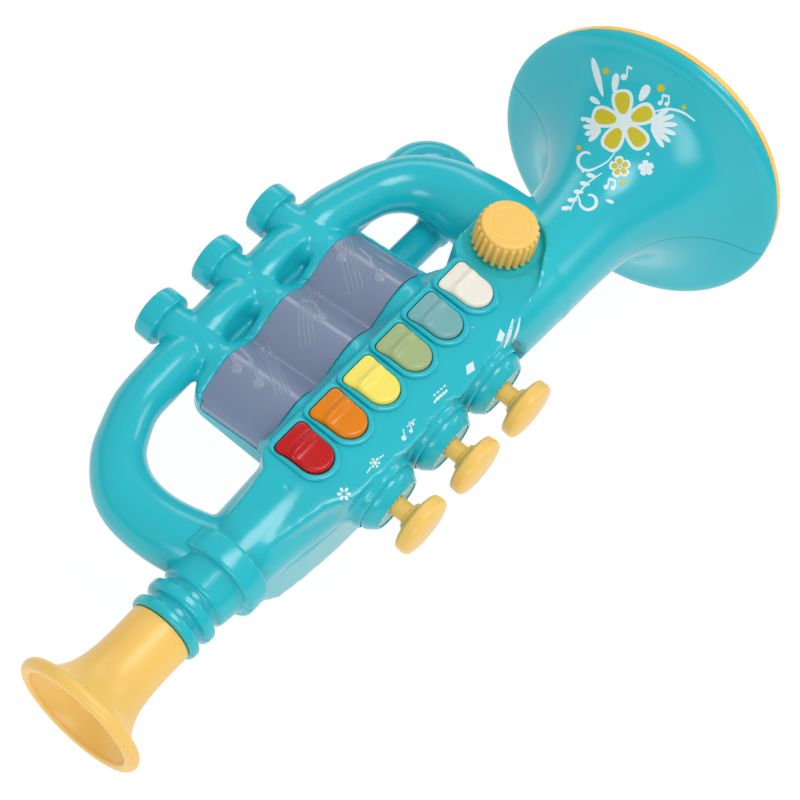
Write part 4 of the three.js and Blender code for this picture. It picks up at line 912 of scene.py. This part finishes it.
# Geometry Nodes for what repeats round an axis: copies of a piece, each a turn further on
def ringTree():
    tree = bpy.data.node_groups.new("copies round an axis", "GeometryNodeTree")
    tree.is_modifier = True
    for name, kind in (("Geometry", "Geometry"), ("Count", "Int"), ("Axis", "Vector"), ("Centre", "Vector"),
                       ("Finish", "Material")):
        tree.interface.new_socket(name, in_out="INPUT", socket_type="NodeSocket" + kind)
    tree.interface.new_socket("Geometry", in_out="OUTPUT", socket_type="NodeSocketGeometry")
    given = addNode(tree, "NodeGroupInput")
    spots = addNode(tree, "GeometryNodeMeshLine", {"Offset": (0, 0, 0)},
                    {"Count": (given, "Count"), "Start Location": (given, "Centre")})
    index = addNode(tree, "GeometryNodeInputIndex")
    share = addNode(tree, "ShaderNodeMath", {"operation": "DIVIDE"}, {0: (index, "Index"), 1: (given, "Count")})
    angle = addNode(tree, "ShaderNodeMath", {"operation": "MULTIPLY", 1: 2 * pi}, {0: (share, "Value")})
    turn = addNode(tree, "FunctionNodeAxisAngleToRotation", None,
                   {"Axis": (given, "Axis"), "Angle": (angle, "Value")})
    copies = addNode(tree, "GeometryNodeInstanceOnPoints", None,
                     {"Points": (spots, "Mesh"), "Instance": (given, "Geometry"), "Rotation": (turn, "Rotation")})
    solid = addNode(tree, "GeometryNodeRealizeInstances", None, {"Geometry": (copies, "Instances")})
    coat = addNode(tree, "GeometryNodeSetMaterial", None,
                   {"Geometry": (solid, "Geometry"), "Material": (given, "Finish")})
    addNode(tree, "NodeGroupOutput", None, {"Geometry": (coat, "Geometry")})
    return tree


copiesTree = ringTree()


def repeatRound(piece, count, axis, centre, material):
    # centre is in horn millimetres; the piece is drawn about it, as the first copy
    hub = toWorld(centre)
    piece.data.transform(Matrix.Translation(-hub))
    step = piece.modifiers.new("copies", "NODES")
    step.node_group = copiesTree
    values = {"Count": count, "Axis": axis, "Centre": hub, "Finish": material}
    for item in copiesTree.interface.items_tree:
        if item.in_out == "INPUT" and item.name in values:
            step[item.identifier] = values[item.name]
    return settle(piece)


def rib(k):
    # one rib of the knob: a rounded bar that leans out to the foot of the knob
    low = np.array((k["bottom"], k["baseRadius"] - k["ribSink"]))
    high = np.array((k["top"] - k["ribEnd"], k["topRadius"] - k["ribSink"]))
    along, half, loops = (high - low) / np.linalg.norm(high - low), k["ribWidth"], []
    rows = [(end + sign * along * half * (1 - sin(turn)), max(half * cos(turn), 0.02))
            for end, sign in ((low, 1), (high, -1)) for turn in quarter(5)[::-sign]]
    for (z, radius), size in rows:
        side, lift = np.cos(circle(14)) * size, np.sin(circle(14)) * size * k["ribLift"]
        loops.append(np.c_[k["x"] + radius + along[0] * lift, k["y"] + side, z - along[1] * lift])
    return loft("rib", loops)


def makeKnob():
    k = knob
    centre, shoulder = (k["x"], k["y"], 0), k["top"] - k["disc"]
    core = [(k["bottom"], 0), (k["bottom"], k["coreRadius"]), (shoulder, k["discRadius"] - k["discStep"]),
            *stepped(shoulder, k["discRadius"], k["top"]),
            *[(k["top"] - sink, radius) for sink, radius in k["ring"]], (k["top"], 0)]
    sizes = [0, 0.5, 0, 0.3, k["topRound"], 0.15, 0.15, 0.15, 0.15, 0]
    skin = turned("knob_skin", eased(core, sizes), "z", 192, centre)
    join(skin, repeatRound(rib(k), k["ribs"], (0, 0, 1), centre, yellow))
    bore = stepped(k["bottom"] - 1, k["boreRadius"], k["bottom"] + k["boreDepth"])
    return cut(skin, turned("bore", bore, "z", 48, centre))


# the window: a wavy smoked cover, with notes and stave lines sunk in its face
cover = {
    "side": 2.0, "lowY": 25.1, "highY": 57.3, "sink": 0.6, "thickness": 1.3, "step": 0.3, "groove": 0.42,
    "depth": 0.3, "raised": 0.3, "lines": 4, "lineGap": 1.7, "endY": (27.4, 55.1), "endX": 0.3, "endWall": 1.6,
    "endDrop": 3.6, "endSink": 0.4, "endGap": 0.25, "notchReach": 3, "notchLap": 1.2, "notchTop": 6,
}
stave = {
    # three ribbons of lines over the waves, and round-headed notes, as pixels of the photograph
    "ribbons": [
        [(345, 236), (347, 250), (350, 264), (354, 278), (357, 290)],
        [(314, 290), (309, 303), (306, 317), (307, 331), (309, 345)],
        [(262, 346), (268, 356), (274, 367), (279, 380), (283, 394)],
    ],
    "notes": [[(258, 383), (250, 357), (238, 345)], [(236, 368), (229, 353), (238, 345)],
              [(322, 316), (313, 301), (303, 300)], [(379, 277), (369, 256), (360, 248)],
              [(341, 257), (335, 245), (344, 240)]],
    "head": 2.1, "stemShift": 0.9, "stemHalf": 0.55, "edge": 0.5,
}
# the camera at the photograph's place: horn millimetres, as fitted to the picture
lens = {
    "place": (-136.4, -126.2, 575.0), "right": (0.6148, -0.7714, 0.164), "down": (-0.6363, -0.608, -0.4747),
    "forward": (0.466, 0.1875, -0.8647), "length": 78.14, "sensor": 36.0, "frame": 800,
}


def pixelRay(x, y):
    # the direction in which the camera sees a pixel of the photograph
    right, down, ahead = (np.array(lens[k]) for k in ("right", "down", "forward"))
    focal, half = lens["length"] / lens["sensor"] * lens["frame"], lens["frame"] / 2
    return right * (x - half) / focal + down * (y - half) / focal + ahead


def onWindow(pixel):
    # the place in the window's straight plan that a pixel shows, found by a few steps down its ray
    place, ray, z = np.array(lens["place"]), pixelRay(*pixel), 9.0
    for _ in range(12):
        hit = place + ray * (z - place[2]) / ray[2]
        y = leanY(*hit[:2], -1)
        z = frontZ(hit[0], y, cover["sink"])
    return hit[0], y


def offsetLine(line, distance):
    line = np.asarray(line, float)
    along = unit(np.gradient(line, axis=0))
    return line + np.c_[-along[:, 1], along[:, 0]] * np.reshape(distance, (-1, 1))


def engraving(plan):
    # how deep the pattern is at each point of the plan: grooves below the face, notes above it
    relief, middle = np.zeros(len(plan)), (cover["lines"] - 1) / 2
    for ribbon in stave["ribbons"]:
        spine = curveThrough([(*onWindow(pixel), 0) for pixel in ribbon], 6)[:, :2]
        for i in range(cover["lines"]):
            line = offsetLine(spine, (i - middle) * cover["lineGap"])
            near = np.min([nearest(plan, a, b)[1] for a, b in zip(line, line[1:])], axis=0)
            relief = np.minimum(relief, -cover["depth"] * np.clip(1 - near / cover["groove"], 0, 1))
    for note in stave["notes"]:
        head, stem, flag = (np.array(onWindow(pixel)) for pixel in note)
        inside = np.linalg.norm(plan - head, axis=1) - stave["head"]
        for a, b in ((head + stave["stemShift"], stem), (stem, flag)):
            inside = np.minimum(inside, nearest(plan, a, b)[1] - stave["stemHalf"])
        boss = cover["raised"] * np.clip(0.5 - inside / stave["edge"], 0, 1)
        relief = np.where(boss > 0, boss, relief)
    return relief


def coverEnd(name, grow):
    # the cover's own end wall, and with a gap round it the notch that it fills in the casing
    c, start = cover, casing["startX"]
    ends = (start + c["endX"], start + c["endX"] + c["endWall"])
    if grow:
        ends = (ends[0] - c["notchReach"], start + c["side"] + c["notchLap"])
    low, high = c["endY"][0] - grow, c["endY"][1] + grow
    top, bottom = c["notchTop"] if grow else -c["endSink"], -c["endDrop"] - grow
    return loft(name, [[(x, leanY(x, y), frontZ(x, y, c["sink"]) + lift)
                        for y, lift in ((low, top), (high, top), (high, bottom), (low, bottom))] for x in ends])


def makeWindow():
    c, low, high = cover, casing["startX"], casing["endX"]
    xs = np.arange(low - 0.5, high + 0.5, c["step"])
    ys = np.arange(c["lowY"] - 0.6, c["highY"] + 0.7, c["step"])
    relief = engraving(np.array([(x, y) for x in xs for y in ys])).reshape(len(xs), len(ys))
    rings = []
    for x, row in zip(xs, relief):
        ring = [(x, leanY(x, y), frontZ(x, y, c["sink"]) + rise) for y, rise in zip(ys, row)]
        rings.append(ring + [(x, leanY(x, y), frontZ(x, y, c["sink"] + c["thickness"])) for y in ys[::-8]])
    skin = loft("window_skin", rings)
    startX, endX, tabX = low + c["side"], high - c["side"], low + c["endX"]
    big, small, (tabLow, tabHigh) = window["corner"], casing["smallCorner"], c["endY"]
    outline = [(startX, c["lowY"]), (endX, c["lowY"]), *arc(endX - small, c["highY"] - small, small, 0, 90),
               *arc(startX + big, c["highY"] - big, big, 90, 160), (startX, tabHigh), (tabX, tabHigh),
               (tabX, tabLow), (startX, tabLow)]
    common(skin, prism("plan", [(x, leanY(x, y)) for x, y in outline], -20, 30))
    join(skin, coverEnd("endWall", 0))
    # the mould's engraving is matt: its places are kept for the material
    points = vertexArray(skin.data)
    plan = np.c_[points[:, 0], leanY(points[:, 0], points[:, 1], -1)]
    frosted = np.clip(np.abs(engraving(plan)) / c["depth"], 0, 1)
    skin.data.attributes.new("frosted", "FLOAT", "POINT").data.foreach_set("value", frosted)
    return skin


# battery door and its screw, and the grille before the loudspeaker
door = {
    "x": (92.5, 151.1), "half": 12.6, "thickness": 1.6, "corner": 2.2, "round": 0.5, "padX": (100.9, 149.2),
    "padHalf": 10.5, "padTop": 3.2, "holeGap": 0.3, "holeStep": 1, "holeEnd": 3,
}
screw = {
    "x": 96.2, "headRadius": 2.5, "headTop": 0.7, "shank": 1.3, "length": 9, "slot": 0.62, "slotShare": 0.62,
    "slotDepth": 0.55,
}
grille = {
    "x": 284.3, "thickness": 2.0, "radius": 20.9, "hole": 2.6, "flareDepth": 0.4, "flare": 0.7, "pitch": 6.8,
    "rings": [(1, 0), (5, 1), (10, 2)],
}


def makeDoor():
    d, low = door, belly["bottomZ"]
    (x0, x1), y, r = d["x"], d["half"], d["corner"]
    outline = [*arc(x1 - r, y - r, r, 0, 90, 6), *arc(x0 + r, y - r, r, 90, 180, 6),
               *arc(x0 + r, r - y, r, 180, 270, 6), *arc(x1 - r, r - y, r, 270, 360, 6)]
    rings = [level(offset(outline, -d["round"] * (1 - sin(turn))), low + d["round"] * (1 - cos(turn)))
             for turn in quarter(4)]
    skin = loft("door_skin", [*rings, level(outline, low + d["thickness"])])
    join(skin, block("pad", d["padX"], (-d["padHalf"], d["padHalf"]), (low + 1, low + d["padTop"])))
    hole = stepped(low - 1, screw["headRadius"] + d["holeGap"], low + d["holeStep"],
                   screw["shank"] + d["holeGap"], low + d["holeEnd"])
    return cut(skin, turned("hole", hole, "z", 48, (screw["x"], 0, 0)))


def makeScrew():
    low, s = belly["bottomZ"], screw
    end = low + s["length"]
    profile = [(low, 0), *stepped(low, s["headRadius"], low + s["headTop"], s["shank"], end), (end, 0)]
    skin = turned("screw_skin", eased(profile, [0, 0.4, 0.1, 0.1, 0.3, 0]), "z", 48, (s["x"], 0, 0))
    wide, thin = s["headRadius"] * s["slotShare"], s["slot"] / 2
    return cut(skin, *[block("slot", (s["x"] - a, s["x"] + a), (-b, b), (low - 1, low + s["slotDepth"]))
                       for a, b in ((wide, thin), (thin, wide))])


def makeGrille():
    g, centre = grille, (0, bell["axisY"], 0)
    start, end = g["x"], g["x"] + g["thickness"]
    profile = [(start, 0), *stepped(start, g["radius"], end), (end, 0)]
    disc = turned("grille_skin", eased(profile, [0, 0.3, 0.6, 0]), "x", 128, centre)
    hole = [*stepped(start - 1, g["hole"], end - g["flareDepth"]), (end + 0.3, g["hole"] + g["flare"])]
    for count, ring in g["rings"]:
        first = turned("hole", hole, "x", 24, (0, bell["axisY"] + ring * g["pitch"], 0))
        cut(disc, repeatRound(first, count, (1, 0, 0), centre, teal))
    points = vertexArray(disc.data)
    points[:, 0] += bellShift(points)
    setVertices(disc.data, points)
    return disc


# the prints: a film of pad ink on the skin, each mark where the picture shows one
ink = {"lift": 0.07, "top": 0.13, "sink": 0.15, "rings": (1.0, 0.72, 0.42), "stroke": 1.7}


def onSkin(tree, pixel):
    ray = Vector(pixelRay(*pixel)).normalized()
    spot, normal, _, _ = tree.ray_cast(toWorld(lens["place"]), ray)
    if spot is None:
        return None, None
    return spot, normal if normal.dot(ray) < 0 else -normal


def petal(x, y, angle, length, width, point=0.6):
    # a leaf or petal from (x, y) outwards; a high point makes both ends sharp
    turn, out = radians(angle), []
    for t in circle(26):
        along = length * (1 - cos(t)) / 2
        across = width / 2 * copysign(abs(sin(t)) ** point, sin(t)) * (0.75 + 0.5 * along / length)
        out.append((x + along * cos(turn) - across * sin(turn), y + along * sin(turn) + across * cos(turn)))
    return out


def dot(x, y, radius):
    turn = circle(16)
    return np.c_[x + np.cos(turn) * radius, y + np.sin(turn) * radius]


def spiral(x, y, start, end, wide, narrow):
    # points on a curl that closes in on (x, y)
    share = np.linspace(0, 1, 9)
    turn, radius = np.radians(start + (end - start) * share), wide + (narrow - wide) * share
    return [*zip(x + np.cos(turn) * radius, y + np.sin(turn) * radius)]


def around(x, y, shift, angles):
    # places about (x, y), each with the way that it faces
    return [(x + cos(radians(angle)) * shift, y + sin(radians(angle)) * shift, angle) for angle in angles]


def layInk(tree, name, patches, strokes, lift):
    # closed patches of pixels, and strokes of pixels with their widths, laid on the skin as thin closed films
    points, faces = [], []

    def film(spots, tops, border):
        base, count = len(points), len(spots)
        hits = [onSkin(tree, spot) for spot in spots]
        if any(spot is None for spot, _ in hits):
            return
        for depth in (lift * mm, -ink["sink"] * mm):
            points.extend(((spot + normal * depth) - Vector(hornOrigin)) / mm for spot, normal in hits)
        faces.extend(tuple(base + i for i in face) for face in tops)
        faces.extend(tuple(base + count + i for i in reversed(face)) for face in tops)
        for a, b in zip(border, border[1:] + border[:1]):
            faces.append((base + b, base + a, base + count + a, base + count + b))

    for outline in patches:
        outline = np.asarray(outline, float)
        outline = outline if winding(outline) > 0 else outline[::-1]
        centre, sides, shrinks = outline.mean(0), len(outline), ink["rings"]
        spots = [tuple(centre + (p - centre) * s) for s in shrinks for p in outline] + [tuple(centre)]
        pairs, inner = [(j, (j + 1) % sides) for j in range(sides)], (len(shrinks) - 1) * sides
        tops = [(r + j, r + k, r + sides + k, r + sides + j) for r in range(0, inner, sides) for j, k in pairs]
        film(spots, tops + [(inner + j, inner + k, inner + sides) for j, k in pairs], list(range(sides)))
    for path, widths in strokes:
        line = curveThrough([(*p, 0) for p in path], 5)[:, :2] if len(path) > 2 else np.asarray(path, float)
        count = len(line)
        width = np.interp(np.linspace(0, 1, count), np.linspace(0, 1, len(widths)), widths)
        spots = [tuple(p) for side in (1, -1) for p in offsetLine(line, side * width / 2)]
        tops = [(count + i, count + i + 1, i + 1, i) for i in range(count - 1)]
        film(spots, tops, [*range(count, 2 * count), *reversed(range(count))])
    return makeObject(name, points, faces)


def note(x, y, size, double):
    # a round-headed note, or a pair under a beam: its patches and strokes
    pen = ink["stroke"]
    patches = [dot(x, y, size * 0.3)]
    strokes = [([(x + size * 0.24, y), (x + size * 0.34, y - size)], [pen] * 2)]
    if double:
        patches.append(dot(x + size * 0.85, y + size * 0.12, size * 0.3))
        strokes += [([(x + size * 0.3, y - size), (x + size * 1.16, y - size * 0.8)], [pen * 1.6] * 2),
                    ([(x + size * 1.08, y + size * 0.1), (x + size * 1.14, y - size * 0.8)], [pen] * 2)]
    else:
        strokes.append(([(x + size * 0.34, y - size), (x + size * 0.75, y - size * 0.72)], [pen * 1.3] * 2))
    return patches, strokes


# A spray of flowers, leaves, curls and notes on the bell, in two inks, and small play signs under the keys: a
# sprig, a drum, notes, bars, a block and a kite. Places and widths are in pixels of the photograph
bigFlower, smallFlower = (-94, -22, 50, 122, 194), (-96, -24, 48, 120, 192)
marks = {
    "palePetals": [
        *[(*spot, 29, 21, 0.75) for spot in around(624, 122, 4, bigFlower)],
        *[(*spot, 10, 8.4, 0.75) for spot in around(620, 167, 1, smallFlower)],
        *[(*spot, 7.5, 6, 0.75) for spot in around(646, 168, 0.5, smallFlower)],
        *[(651, 122 + fan * 1.2, -38 + fan * 19, 27 - abs(fan - 2.5) * 1.6, 5.2, 0.9) for fan in range(6)],
        *[(601, 126 + fan * 1.5, 205 - fan * 22, 19 - fan, 5, 0.9) for fan in range(4)],
        (603, 97, -105, 41, 6.5, 1.1), (614, 93, -83, 20, 7, 1.0), (640, 101, -62, 18, 9, 0.9),
        (600, 104, 214, 12, 5.5, 1.0), (606, 200, 20, 8, 3.4),
        *[(596 - step * 6.2, 177 + step * 7.6, 196 - step * 6, 10, 4.4, 1.0) for step in range(5)],
        *[(*spot, 5, 3) for spot in around(344, 494, 2, range(0, 360, 60))],
    ],
    "goldPetals": [*[(*spot, 22, 14.5, 0.75) for spot in around(624, 122, 8, bigFlower)],
                   *[(*spot, 6.5, 5.4, 0.75) for spot in around(620, 167, 2, smallFlower)]],
    "paleDots": [
        (624, 122, 8), (583, 119, 2.2), (648, 154, 1.7), (583, 171, 1.6), (375, 463, 2.0), (404, 438, 2.6),
        (411, 431, 1.9), (413, 424, 1.5), *[(x, y, 1.3) for x, y, _ in around(375, 463, 4, range(0, 360, 60))],
    ],
    "goldDots": [(606, 71, 3.2), (661, 88, 4), (684, 107, 2.4), (579, 148, 2.6), (623, 182, 3)],
    "paleShapes": [[(466, 366), (473, 361), (475, 370), (467, 375)],
                   [(496, 341), (500, 329), (505, 334), (501, 345)]],
    "notes": [(624, 77, 11, False), (660, 103, 8, True), (606, 187, 8, True)],
    "strokes": [
        ([(652, 112), (668, 109), (682, 112), (695, 121)], [1.2, 2.6, 2.6, 1.4]),
        ([(617, 149), (608, 161), (596, 168), *spiral(587, 160, 60, 300, 11, 7)], [1.0, 2.6, 3.4, 2.0]),
        ([(602, 173), (588, 183), (577, 196), (570, 211)], [1.0, 1.8, 1.8, 1.0]),
        ([(578, 196), *spiral(589, 201, 190, -100, 10, 6)], [1.4, 3.0, 3.4, 2.0]),
        ([(504, 348), (509, 335), (513, 319)], [1.2, 4.2, 1.5]),
        ([(512, 343), (517, 331), (520, 318)], [1.0, 3.0, 1.2]),
        *[([(434 + i * 3.4, 403 - i * 3), (438 + i * 3.0, 397 - i * 2.4)], [2.0, 2.0]) for i in range(4)],
        *[([(433.5 + i * 3.4, 396 - i * 3), (435.5 + i * 3.4, 394 - i * 3)], [1.6, 1.6]) for i in range(4)],
    ],
    "lines": [
        [(342, 499), (338, 506)], [(346, 500), (352, 503)], [(371, 467), (367, 473)], [(378, 459), (384, 455)],
        [(405, 437), (403, 429)], [(412, 430), (409, 422)], [(407, 427), (415, 419)],
    ],
    "line": 1.2,
}


def makePrints(skins):
    tree, m = skinUnder(skins), marks
    pale = [petal(*leaf) for leaf in m["palePetals"]] + [dot(*spot) for spot in m["paleDots"]] + m["paleShapes"]
    gold = [petal(*leaf) for leaf in m["goldPetals"]] + [dot(*spot) for spot in m["goldDots"]]
    strokes = m["strokes"] + [(line, [m["line"]] * 2) for line in m["lines"]]
    for sign in m["notes"]:
        patches, lines = note(*sign)
        pale, strokes = pale + patches, strokes + lines
    return (layInk(tree, "print_pale", pale, strokes, ink["lift"]),
            layInk(tree, "print_gold", gold, [], ink["top"]))


# the round label in each collar's face: pale ticks about the stem
ticks = {"count": 20, "x": (5.9, 8.9), "half": 0.32, "top": 0.12, "sink": 0.1, "ring": (9.22, 9.78)}


def makeTicks(i, x):
    t, face = ticks, pistonCollar["faceY"] + pistonCollar["recess"]
    low, high, (inner, outer) = face - t["top"], face + t["sink"], t["ring"]
    tick = block("tick", [x + a for a in t["x"]], (low, high), (-t["half"], t["half"]))
    label = repeatRound(tick, t["count"], (0, 1, 0), (x, 0, 0), paleInk)
    join(label, atValve("ring", x, [(high, inner), *stepped(high, outer, low), (low, inner), (high, inner)]))
    return rename(label, "label_%d" % i)


def makeCamera():
    data = bpy.data.cameras.new("studio camera")
    data.lens, data.sensor_width, data.clip_start, data.clip_end = lens["length"], lens["sensor"], 0.01, 20
    camera = addObject("studio camera", data)
    right, ahead = np.array(lens["right"]), np.array(lens["forward"])
    ahead /= np.linalg.norm(ahead)
    right = right - ahead * (right @ ahead)
    right /= np.linalg.norm(right)
    turn = Matrix((right, -np.cross(ahead, right), -ahead)).transposed().to_4x4()
    camera.matrix_world = Matrix.Translation(toRow(lens["place"]).tolist()) @ turn
    bpy.context.scene.camera = camera


studio = {
    "middle": (0, 0, 0.05), "floorHalf": 3.0,
    # how bright the surround is at each height of the direction, from below to straight up
    "surround": [(0.0, 1.0), (0.498, 1.0), (0.502, 0.3), (0.66, 0.26), (0.668, 0.54), (0.85, 0.54), (1.0, 0.46)],
    "boxes": [
        ("overhead box", (0.16, -0.2, 0.96), 0.95, (0.4, 0.4), 3.0),
        ("rim box", (0.62, 0.6, 0.5), 1.1, (0.7, 0.3), 1.3),
        ("left box", (-0.85, -0.35, 0.5), 1.1, (0.7, 0.3), 2.6),
        ("right box", (0.75, -0.5, 0.45), 1.1, (0.5, 0.3), 1.4),
    ],
}


def makeStudio():
    # a white sweep that all but vanishes, bright walls below a dimmer ceiling, and soft boxes for the gloss
    scene = bpy.context.scene
    scene.view_settings.view_transform = "Standard"
    scene.view_settings.look = "None"
    world = bpy.data.worlds.new("white studio")
    world.use_nodes = True
    tree = world.node_tree
    tree.nodes.clear()
    place = addNode(tree, "ShaderNodeTexCoord")
    parts = addNode(tree, "ShaderNodeSeparateXYZ", None, {0: (place, "Generated")})
    height = addNode(tree, "ShaderNodeMapRange", {"From Min": -1.0, "From Max": 1.0}, {"Value": (parts, "Z")})
    shades = addNode(tree, "ShaderNodeValToRGB", None, {"Fac": (height, "Result")})
    stops = shades.color_ramp.elements
    for i, (at, bright) in enumerate(studio["surround"]):
        stop = stops[i] if i < 2 else stops.new(at)
        stop.position, stop.color = at, (bright, bright, bright, 1)
    glow = addNode(tree, "ShaderNodeBackground", {"Strength": 1.0}, {"Color": (shades, "Color")})
    addNode(tree, "ShaderNodeOutputWorld", None, {"Surface": (glow, "Background")})
    scene.world = world
    mesh, half = bpy.data.meshes.new("studio_floor"), studio["floorHalf"]
    mesh.from_pydata([(-half, -half, 0), (half, -half, 0), (half, half, 0), (-half, half, 0)], [], [(0, 1, 2, 3)])
    floor = addObject("studio_floor", mesh)
    floor.data.materials.append(mouldedPlastic("lit white acrylic sweep", "3C3C3C", "383838", 0.9, ior=1.3,
                                               **{"Emission Color": (1, 1, 1, 1), "Emission Strength": 0.97}))
    middle = Vector(studio["middle"])
    for name, direction, distance, size, power in studio["boxes"]:
        data = bpy.data.lights.new(name, "AREA")
        data.shape, data.size, data.size_y, data.energy = "RECTANGLE", *size, power
        light = addObject(name, data)
        light.location = middle + Vector(direction).normalized() * distance
        light.rotation_euler = (middle - light.location).to_track_quat("-Z", "Y").to_euler()


makeCamera()
makeStudio()
print("camera and studio ready")

frontSkin, backSkin = splitHorn(dressHorn(makeHorn()))
finish(shade(frontSkin, 38), teal, "horn", "teal", "front_shell")
finish(shade(backSkin, 38), teal, "horn", "teal", "back_shell", "tuning_bow")
print("shells ready")

for make, angle, material, body, slotName, node in (
    (makeKnob, 40, yellow, "knob", "yellow", "mode_knob"),
    (makeWindow, 50, smoke, "horn", "window", "window_cover"),
    (makeDoor, 40, teal, "horn", "teal", "battery_door"),
    (makeScrew, 40, zincSteel, "horn", "steel", "door_screw"),
    (makeGrille, 40, teal, "horn", "teal", "speaker_grille"),
    (makeMouthpiece, 40, yellow, "horn", "yellow", "mouthpiece"),
    (makeRim, 40, yellow, "horn", "yellow", "bell_ring"),
):
    finish(shade(make(), angle), material, body, slotName, node)
for i, x in enumerate(valveXs, 1):
    finish(shade(makeCollar(i, x), 40), teal, "horn", "teal", "piston_collar_%d" % i)
    finish(shade(makePiston(i, x), 40), yellow, "piston %d" % i, "yellow", "piston_%d" % i)
for i, x in enumerate(keyXs):
    name = keys["names"][i]
    finish(shade(makeKey(i, x), 50), keyFinishes[i], name + " key", "key_" + name, "key_" + name)
print("keys and pistons ready")

pale, gold = makePrints([frontSkin, backSkin])
finish(pale, paleInk, "horn", "key_white")
finish(gold, goldInk, "horn", "key_yellow")
for i, x in enumerate(valveXs, 1):
    finish(makeTicks(i, x), paleInk, "horn", "key_white")
print("prints ready")

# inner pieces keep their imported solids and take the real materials
innerFinishes = {
    "light_tray": reflector, "key_pad": siliconeRubber, "main_board": boardFinish, "rotary_switch": blackAbs,
    "piston_board": boardFinish, "battery_1": cellSleeve, "battery_2": cellSleeve,
    "contact_plate_front": zincSteel, "contact_plate_rear": zincSteel, "speaker": blackAbs,
}
for node, material in innerFinishes.items():
    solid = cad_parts[node]
    solid.data.materials.clear()
    solid.data.materials.append(material)
